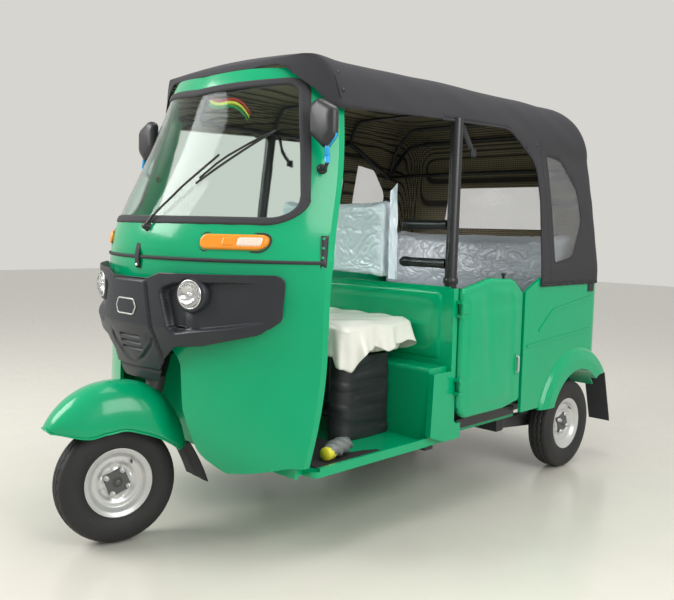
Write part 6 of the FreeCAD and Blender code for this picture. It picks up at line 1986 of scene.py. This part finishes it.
@dataclass(frozen=True)
class Cab:
    """Fittings of the driver's and passengers' room."""

    pillar_foot: Point = (582.0, 1098.0, 900.0)
    pillar_top: Point = (549.0, 1150.0, 1528.8)
    bar_end: float = 322.0
    partition_y: float = 1070.4
    box_front: tuple[Point, ...] = ((400.0, 690.0, 60.0), (400.0, 958.0, 0.0), (-400.0, 958.0, 0.0),
                                    (-400.0, 690.0, 60.0))
    mat_half: tuple[Point, ...] = ((572.0, 408.0, 20.0), (580.0, 560.0, 40.0), (586.0, 726.0, 14.0),
                                   (552.0, 742.0, 14.0), (524.0, 690.0, 30.0), (506.0, 612.0, 24.0),
                                   (452.0, 606.0, 20.0), (430.0, 676.0, 20.0), (392.0, 684.0, 0.0))

    def build(self) -> None:
        """Make hand bars, edge plates, partition pressing, controls, straps and small things on the floor."""
        self._seat_box()
        self._mats()
        self._bars()
        self._plates()
        self._partition()
        self._controls()
        self._bundle()
        self._strap()

    def _pillar(self, z: float) -> tuple[float, float]:
        """Middle of the pillar at a height.

        Args:
            z: the height.

        Returns:
            Its half width and distance back.
        """
        t = (z - self.pillar_foot[2]) / (self.pillar_top[2] - self.pillar_foot[2])
        return (self.pillar_foot[0] + (self.pillar_top[0] - self.pillar_foot[0]) * t,
                self.pillar_foot[1] + (self.pillar_top[1] - self.pillar_foot[1]) * t)

    def _bars(self) -> None:
        """Make the hand bars in their sleeves, and the pillars that carry them."""
        x0, y0, z0 = self.pillar_foot
        for side, word in SIDES:
            for level, z in (("upper", 1120.0), ("lower", 970.0)):
                x, y = self._pillar(z)
                reach = x - self.bar_end
                profile = [(0.0, reach), (10.0, reach - 2.0), (16.0, reach - 8.0), (20.5, reach - 17.0),
                           (20.5, reach - 42.0), (18.5, reach - 48.0), (18.5, 48.0), (20.0, 42.0),
                           (20.0, 22.0)]
                VEHICLE.lathe(f"hand_bar_{level}_{word}", profile, (side * x, y, z), (-side, 0.0, 0.0), BLACK,
                              ["grab_rails"] if (side, level) == (1, "upper") else (), steps=32)
            line = [(side * x0, y0, FLOOR_TOP), (side * x0, y0, z0),
                    (side * self.pillar_top[0], self.pillar_top[1], 1528.0)]
            VEHICLE.tube(f"pillar_{word}", filleted(line, 120.0), 24.0, BLACK,
                         ["side_pillars"] if side > 0 else (), resolution=6)
            VEHICLE.lathe(f"pillar_collar_{word}", [(24.5, 12.0), (29.0, 10.0), (29.0, -10.0), (24.5, -12.0)],
                          (side * x0, y0, z0 + 6.0), (0.0, 0.0, 1.0), BLACK, steps=32)

    def _seat_box(self) -> None:
        """Make the loose cover round the driver's seat box, creased and slumped at its foot."""
        line = evenly(rounded(self.box_front, 10)[:-1], 150)
        out = line - np.array((0.0, 900.0))
        out /= np.linalg.norm(out, axis=1, keepdims=True)
        rows = []
        for z in np.linspace(FLOOR_TOP, 618.0, 54):
            fold = np.array([noise.noise(Vector((p[0] * 0.006, z * 0.035 + p[0] * 0.004, p[1] * 0.006)))
                             for p in line])
            crease = 1.0 - np.minimum(1.0, np.abs(fold) * 6.0)
            sag = 5.0 * math.exp(-((z - 320.0) / 26.0) ** 2)
            flat = line + out * (1.5 + sag + 4.5 * fold - 2.6 * crease)[:, None]
            rows.append(np.column_stack([flat, np.full(len(line), z)]))
        VEHICLE.mesh("seat_box_cover", np.concatenate(rows), grid_faces(len(rows), len(line)), VINYL,
                     ["driver_seat_base"], thickness=3.0)

    def _mats(self) -> None:
        """Lay the ribbed mats in front of the driver's seat and of the bench."""
        def place(x: Array, y: Array) -> Array:
            """Raise the mat's ribs, edge and slight waves off the floor."""
            wave = np.array([noise.noise(Vector((p * 0.009, q * 0.011, 2.0))) for p, q in zip(x, y)])
            inside = -signed_distance(np.stack([x, y], -1), outline)
            rib = 0.9 * np.abs(np.sin(x * math.pi / 22.0)) * ease(inside, 16.0, 26.0)
            rise = 2.5 + 1.8 * ease(inside, 0.0, 4.0) + rib + 2.2 * np.maximum(wave, 0.0)
            return np.stack([x, y, FLOOR_TOP + rise], -1)

        for name, outline, cell, node in (("driver_mat", rounded(mirrored(self.mat_half)), 9.0,
                                           ["floor_mats"]),
                                          ("passenger_mat",
                                           rounded([(500.0, 1190.0, 20.0), (500.0, 1600.0, 20.0),
                                                    (-500.0, 1600.0, 20.0), (-500.0, 1190.0, 20.0)]), 11.0,
                                           ())):
            points, faces = relief_sheet(outline, cell, place)
            VEHICLE.mesh(name, points, faces, MAT, node, thickness=2.0)

    def _plates(self) -> None:
        """Fit the studded plates over the joint of the cowl and the windscreen's frame, at both edges."""
        heights = np.linspace(948.0, 1070.0, 13)
        rows = []
        for z in heights:
            front = COWL_FRONT if z < 990.0 else SCREEN_FRONT
            table = np.array(front.levels)
            half = float(np.interp(z, table[:, 0], table[:, 3]))
            for d in (15.0, 11.0, 7.0, 3.0):
                rows.append(front.wrap(np.array([(half - d, z)]), 2.5)[0])
        grid = np.array(rows)
        faces = grid_faces(13, 4)
        for side, word in SIDES:
            VEHICLE.mesh(f"edge_plate_{word}", grid * (side, 1.0, 1.0), faces, BLACK, thickness=2.0)
            for k in range(4):
                x, y, z = grid[4 * (2 + 3 * k) + 1]
                VEHICLE.lathe(f"edge_plate_stud_{word}_{k}", [(0.0, 3.0), (3.4, 2.4), (5.0, 0.0)],
                              (side * x, y, z), (side * 0.8, -0.6, 0.0), PAINT, steps=12)

    def _partition(self) -> None:
        """Make the partition's pressed rear face."""
        outline = rounded([(-566.0, 600.0, 18.0), (566.0, 600.0, 18.0), (566.0, 866.0, 30.0),
                           (-566.0, 866.0, 30.0)])
        inner = box_line((-520.0, 640.0), (520.0, 826.0), 40.0)

        def place(x: Array, z: Array) -> Array:
            """Raise the field, with its rib and rolled rim."""
            flat = np.stack([x, z], -1)
            deep = -signed_distance(flat, inner)
            rim = ease(-signed_distance(flat, outline), 0.0, 14.0)
            rib = np.exp(-((z - 733.0) / 9.0) ** 2) * ease(deep, 10.0, 40.0)
            return np.stack([x, self.partition_y - 4.0 * rim + 3.2 * ease(deep, -8.0, 8.0) - 3.0 * rib, z],
                            -1)

        points, faces = relief_sheet(outline, 8.0, place)
        VEHICLE.mesh("partition_pressing", points, faces, PAINT, thickness=1.5)

    def _controls(self) -> None:
        """Make the hand levers, grips and switch boxes, the speed dial, the brake pedal and the gear boss."""
        bar = STEER_FOOT_Y + (1040.0 - WHEEL_Z) * math.tan(STEER_RAKE)
        grip = [(0.0, 100.0), (16.0, 99.0), (19.0, 95.0), (16.5, 90.0), (16.5, 12.0), (20.0, 6.0),
                (20.0, -4.0), (12.0, -8.0)]
        for side, word in SIDES:
            lever = [(side * 120.0, bar + 10.0, 1046.0), (side * 158.0, bar - 14.0, 1050.0),
                     (side * 246.0, bar + 30.0, 1048.0)]
            STEERING.tube(f"hand_lever_{word}", filleted(lever, 24.0), 4.0, STEEL)
            STEERING.lathe(f"hand_grip_{word}", grip, (side * 180.0, bar + 52.0, 1046.0),
                           (side * 0.878, 0.478, 0.0), RUBBER, steps=24)
            STEERING.block(f"switch_box_{word}", (side * 104.0, bar - 6.0, 1028.0),
                           (side * 142.0, bar + 34.0, 1066.0), PLASTIC, 5.0)
        for part, profile, finish in (("ring", [(52.0, 2.0), (55.0, 6.0), (60.0, 5.0), (62.0, 0.0)], CHROME),
                                      ("face", [(0.0, 2.5), (52.0, 2.5)], PLASTIC),
                                      ("glass", [(0.0, 6.5), (30.0, 6.0), (54.0, 4.0)], LENS)):
            VEHICLE.lathe(f"speed_dial_{part}", profile, (0.0, 262.0, 1022.0), (0.0, 0.97, 0.24), finish)
        VEHICLE.block("brake_pedal_pad", (-170.0, 452.0, 352.0), (-100.0, 470.0, 410.0), RUBBER, 6.0)
        arm = filleted([(-135.0, 352.0, 420.0), (-135.0, 410.0, 384.0), (-135.0, 456.0, 380.0)], 20.0)
        VEHICLE.tube("brake_pedal_arm", arm, 8.0, BLACK)
        VEHICLE.lathe("gear_boss", [(0.0, 24.0), (22.0, 22.0), (30.0, 10.0), (32.0, 0.0)],
                      (0.0, 336.0, 640.0), (0.0, 1.0, 0.0), BLACK)

    def _bundle(self) -> None:
        """Lay the wrapped tool roll and its capped tube on the floor beside the seat box."""
        loops, count = 15, 24
        rows = []
        for i, t in enumerate(np.linspace(-1.0, 1.0, loops)):
            size = math.sqrt(max(0.0, 1.0 - abs(t) ** 3.0)) * 0.96 + 0.05
            for k in range(count):
                a = 2.0 * math.pi * k / count
                r = 29.0 * size * (1.0 + 0.20 * math.sin(3.0 * a + 1.7 * i)
                                   + 0.16 * math.sin(5.0 * a + 2.9 * i))
                rows.append((520.0 - 18.0 * t + r * 1.15 * math.cos(a), 560.0 + 82.0 * t,
                             FLOOR_TOP + 6.0 + max(0.0, 30.0 + r * math.sin(a))))
        faces = [*band_faces(loops, count), tuple(range(count)),
                 tuple(range((loops - 1) * count, loops * count))]
        bag = VEHICLE.mesh("tool_roll", np.array(rows), faces, BAG, subdivide=1)
        VEHICLE.weld(bag)
        VEHICLE.lathe("tool_roll_cap", [(0.0, 12.0), (20.0, 11.0), (24.0, 6.0), (25.0, -26.0), (20.0, -30.0)],
                      (538.0, 486.0, 330.0), (0.2, -0.98, 0.0), YELLOW_TAPE, steps=10)

    def _strap(self) -> None:
        """Hang a webbing strap with its buckle from the hood's hem behind each pillar."""
        line = np.array([(538.0, 1196.0, 1526.0), (541.0, 1208.0, 1490.0), (545.0, 1224.0, 1462.0),
                         (545.0, 1244.0, 1436.0), (543.0, 1270.0, 1410.0), (541.0, 1284.0, 1392.0)])
        count = len(line)
        for side, word in SIDES:
            rows = np.concatenate([np.column_stack([side * (line[:, 0] + d * 0.3), line[:, 1] + d,
                                                    line[:, 2] + d * 0.4]) for d in (-11.0, 11.0)])
            faces = [(i, i + 1, count + i + 1, count + i) for i in range(count - 1)]
            strap = VEHICLE.mesh(f"hood_strap_{word}", rows, faces, HOOD, thickness=2.0)
            VEHICLE.block(f"hood_buckle_{word}", (side * 537.0, 1252.0, 1394.0),
                          (side * 549.0, 1286.0, 1424.0), BLACK, 3.0)


@dataclass(frozen=True)
class ScreenRibbon:
    """Little striped ribbon hung inside the top of the windscreen."""

    steps: int = 14

    def build(self) -> None:
        """Make its three stripes as one hung strip."""
        for k, finish in enumerate((RED_CLOTH, YELLOW_TAPE, GREEN_CLOTH)):
            rows = []
            for t in np.linspace(0.0, 1.0, self.steps):
                x = 60.0 + 190.0 * t
                z = 1552.0 - 60.0 * t * t - 10.0 * math.sin(t * 7.0) - 12.0 * k
                y = float(SCREEN_FRONT.y(np.array(x), np.array(z))) + 22.0 + 4.0 * math.sin(t * 9.0)
                rows += [(x, y, z), (x, y + 1.0, z - 12.0)]
            strip = VEHICLE.mesh(f"screen_ribbon_{k}", np.array(rows), grid_faces(self.steps, 2), finish,
                                 thickness=0.6)


@dataclass(frozen=True)
class Tail:
    """Tail lamps, side vents and plate lamp, and the studs that hold the hood's hem."""

    def build(self) -> None:
        """Make the fittings of the rear body."""
        for side, word in SIDES:
            self._slab(f"tail_lamp_base_{word}", box_line((438.0, 688.0), (532.0, 832.0), 18.0), side, 2250.6,
                       2262.0, PLASTIC, ["tail_lamps"] if side > 0 else ())
            for part, low, high, finish in (("stop", 758.0, 826.0, RED), ("turn", 726.0, 754.0, AMBER),
                                            ("reverse", 694.0, 722.0, CLEAR_LENS)):
                lens = box_line((444.0, low), (526.0, high), 9.0)
                self._slab(f"tail_lamp_{part}_{word}", lens, side, 2260.0, 2282.0, finish, ())
            VEHICLE.block(f"side_vent_{word}", (side * 640.0, 2106.0, 828.0), (side * 645.5, 2158.0, 896.0),
                          RUBBER, 2.5)
            for k in range(4):
                z = 840.0 + 14.0 * k
                VEHICLE.block(f"side_vent_rib_{word}_{k}", (side * 645.0, 2112.0, z),
                              (side * 648.0, 2152.0, z + 5.0), RUBBER, 1.2)
            for y, z in ((1700.0, 892.0), (1820.0, 890.0), (1960.0, 889.0), (2100.0, 888.0)):
                VEHICLE.lathe(f"hood_stud_{word}_{int(y)}", [(0.0, 4.0), (4.5, 3.4), (7.0, 0.0)],
                              (side * 648.5, y, z), (side, 0.0, 0.0), BLACK, steps=16)
        VEHICLE.block("plate_lamp", (-34.0, 2251.0, 884.0), (34.0, 2274.0, 912.0), PLASTIC, 5.0)

    @staticmethod
    def _slab(name: str, outline: Array, side: int, low: float, high: float, finish: Finish,
              replaces: Sequence[str]) -> None:
        """Make a lamp's base or lens, its outer edge rolled.

        Args:
            name: name of the piece.
            outline: (x, z) outline on the left side.
            side: +1 for the left side, -1 for the right.
            low: distance back of its seat.
            high: distance back of its face.
            finish: its finish.
            replaces: nodes that it stands for.
        """
        count = len(outline)
        rows = [np.column_stack([side * flat[:, 0], np.full(count, y), flat[:, 1]]) for y,
                flat in shrunk_loops(outline, ((low, 1.0), (high - 6.0, 1.0), (high - 2.0, 0.96),
                                               (high, 0.86)))]
        faces = [*band_faces(4, count), tuple(range(3 * count, 4 * count)), tuple(range(count))]
        VEHICLE.weld(VEHICLE.mesh(name, np.concatenate(rows), faces, finish, replaces))


@dataclass(frozen=True)
class Underbody:
    """Springs, cooling fins and tail pipe under the body."""

    def build(self) -> None:
        """Make what shows below and behind."""
        for side, word in SIDES:
            line = coil((side * 465.0, 1948.0, 262.0), (side * 465.0, 1928.0, 586.0), 30.0, 8.0, 192,
                        tilted=False)
            VEHICLE.tube(f"rear_spring_{word}", line, 5.0, BLACK)
        for k in range(9):
            z = 430.0 + 14.0 * k
            VEHICLE.block(f"engine_fin_{k}", (-150.0, 1826.0, z), (150.0, 2140.0, z + 4.0), ENGINE, 1.0)
        pipe = [(-118.0, 2200.0, 322.0), (-190.0, 2200.0, 322.0), (-230.0, 2232.0, 310.0),
                (-236.0, 2296.0, 300.0)]
        VEHICLE.tube("tail_pipe", filleted(pipe, 30.0), 15.0, AXLE)


SEATS = (Padding("driver_seat_pad", "driver_cushion",
                 ((650.0, 620.6, 22.0), (1044.0, 620.6, 22.0), (1044.0, 750.0, 30.0), (650.0, 750.0, 44.0)),
                 438.0, CREAM_WRAP, 0.8), Padding("driver_back_pad", "driver_backrest",
                                                  ((1002.0, 885.0, 22.0), (1080.0, 885.0, 22.0),
                                                   (1080.0, 1232.0, 26.0), (1012.0, 1232.0, 26.0)), 334.0,
                                                  WRAP, 0.75, inset=9.0),
         Padding("bench_pad", "passenger_cushion", ((1620.0, 641.0, 30.0), (2080.0, 641.0, 30.0),
                                                    (2080.0, 760.0, 40.0), (1620.0, 760.0, 52.0)), 578.0,
                 GREY_WRAP, 0.8), Padding("bench_back_pad", "passenger_backrest",
                                          ((1980.0, 761.0, 30.0), (2100.0, 761.0, 30.0),
                                           (2170.0, 1108.0, 34.0), (2080.0, 1108.0, 44.0)), 558.0, GREY_WRAP,
                                          0.7),)
WHEELS = (Wheel(FRONT_WHEEL, 0.0, 0.0, 1, "front"),
          Wheel(Fitter("rear_wheel_left"), 580.0, 2000.0, 1, "rear_left"),
          Wheel(Fitter("rear_wheel_right"), -580.0, 2000.0, -1, "rear_right"))
ASSEMBLIES = (Hood(), Windscreen(), Nose(), *WHEELS, FrontEnd(), SideSheets(), Mirrors(), FrontTrim(), *SEATS,
              SeatFilm(), BackFilm(), Cab(), ScreenRibbon(), Tail(), Underbody())


def main() -> None:
    """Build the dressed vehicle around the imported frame."""
    logging.basicConfig(level=logging.INFO, format="%(name)s: %(message)s")
    sizes: dict[str, list[list[float]]] = {}
    keep_size("cad", sizes)
    Studio().build()
    dress_nodes()
    for assembly in ASSEMBLIES:
        LOG.info("building %s", type(assembly).__name__)
        assembly.build()
    bpy.context.view_layer.update()
    keep_size("visual", sizes)


if __name__ == "__main__":
    main()
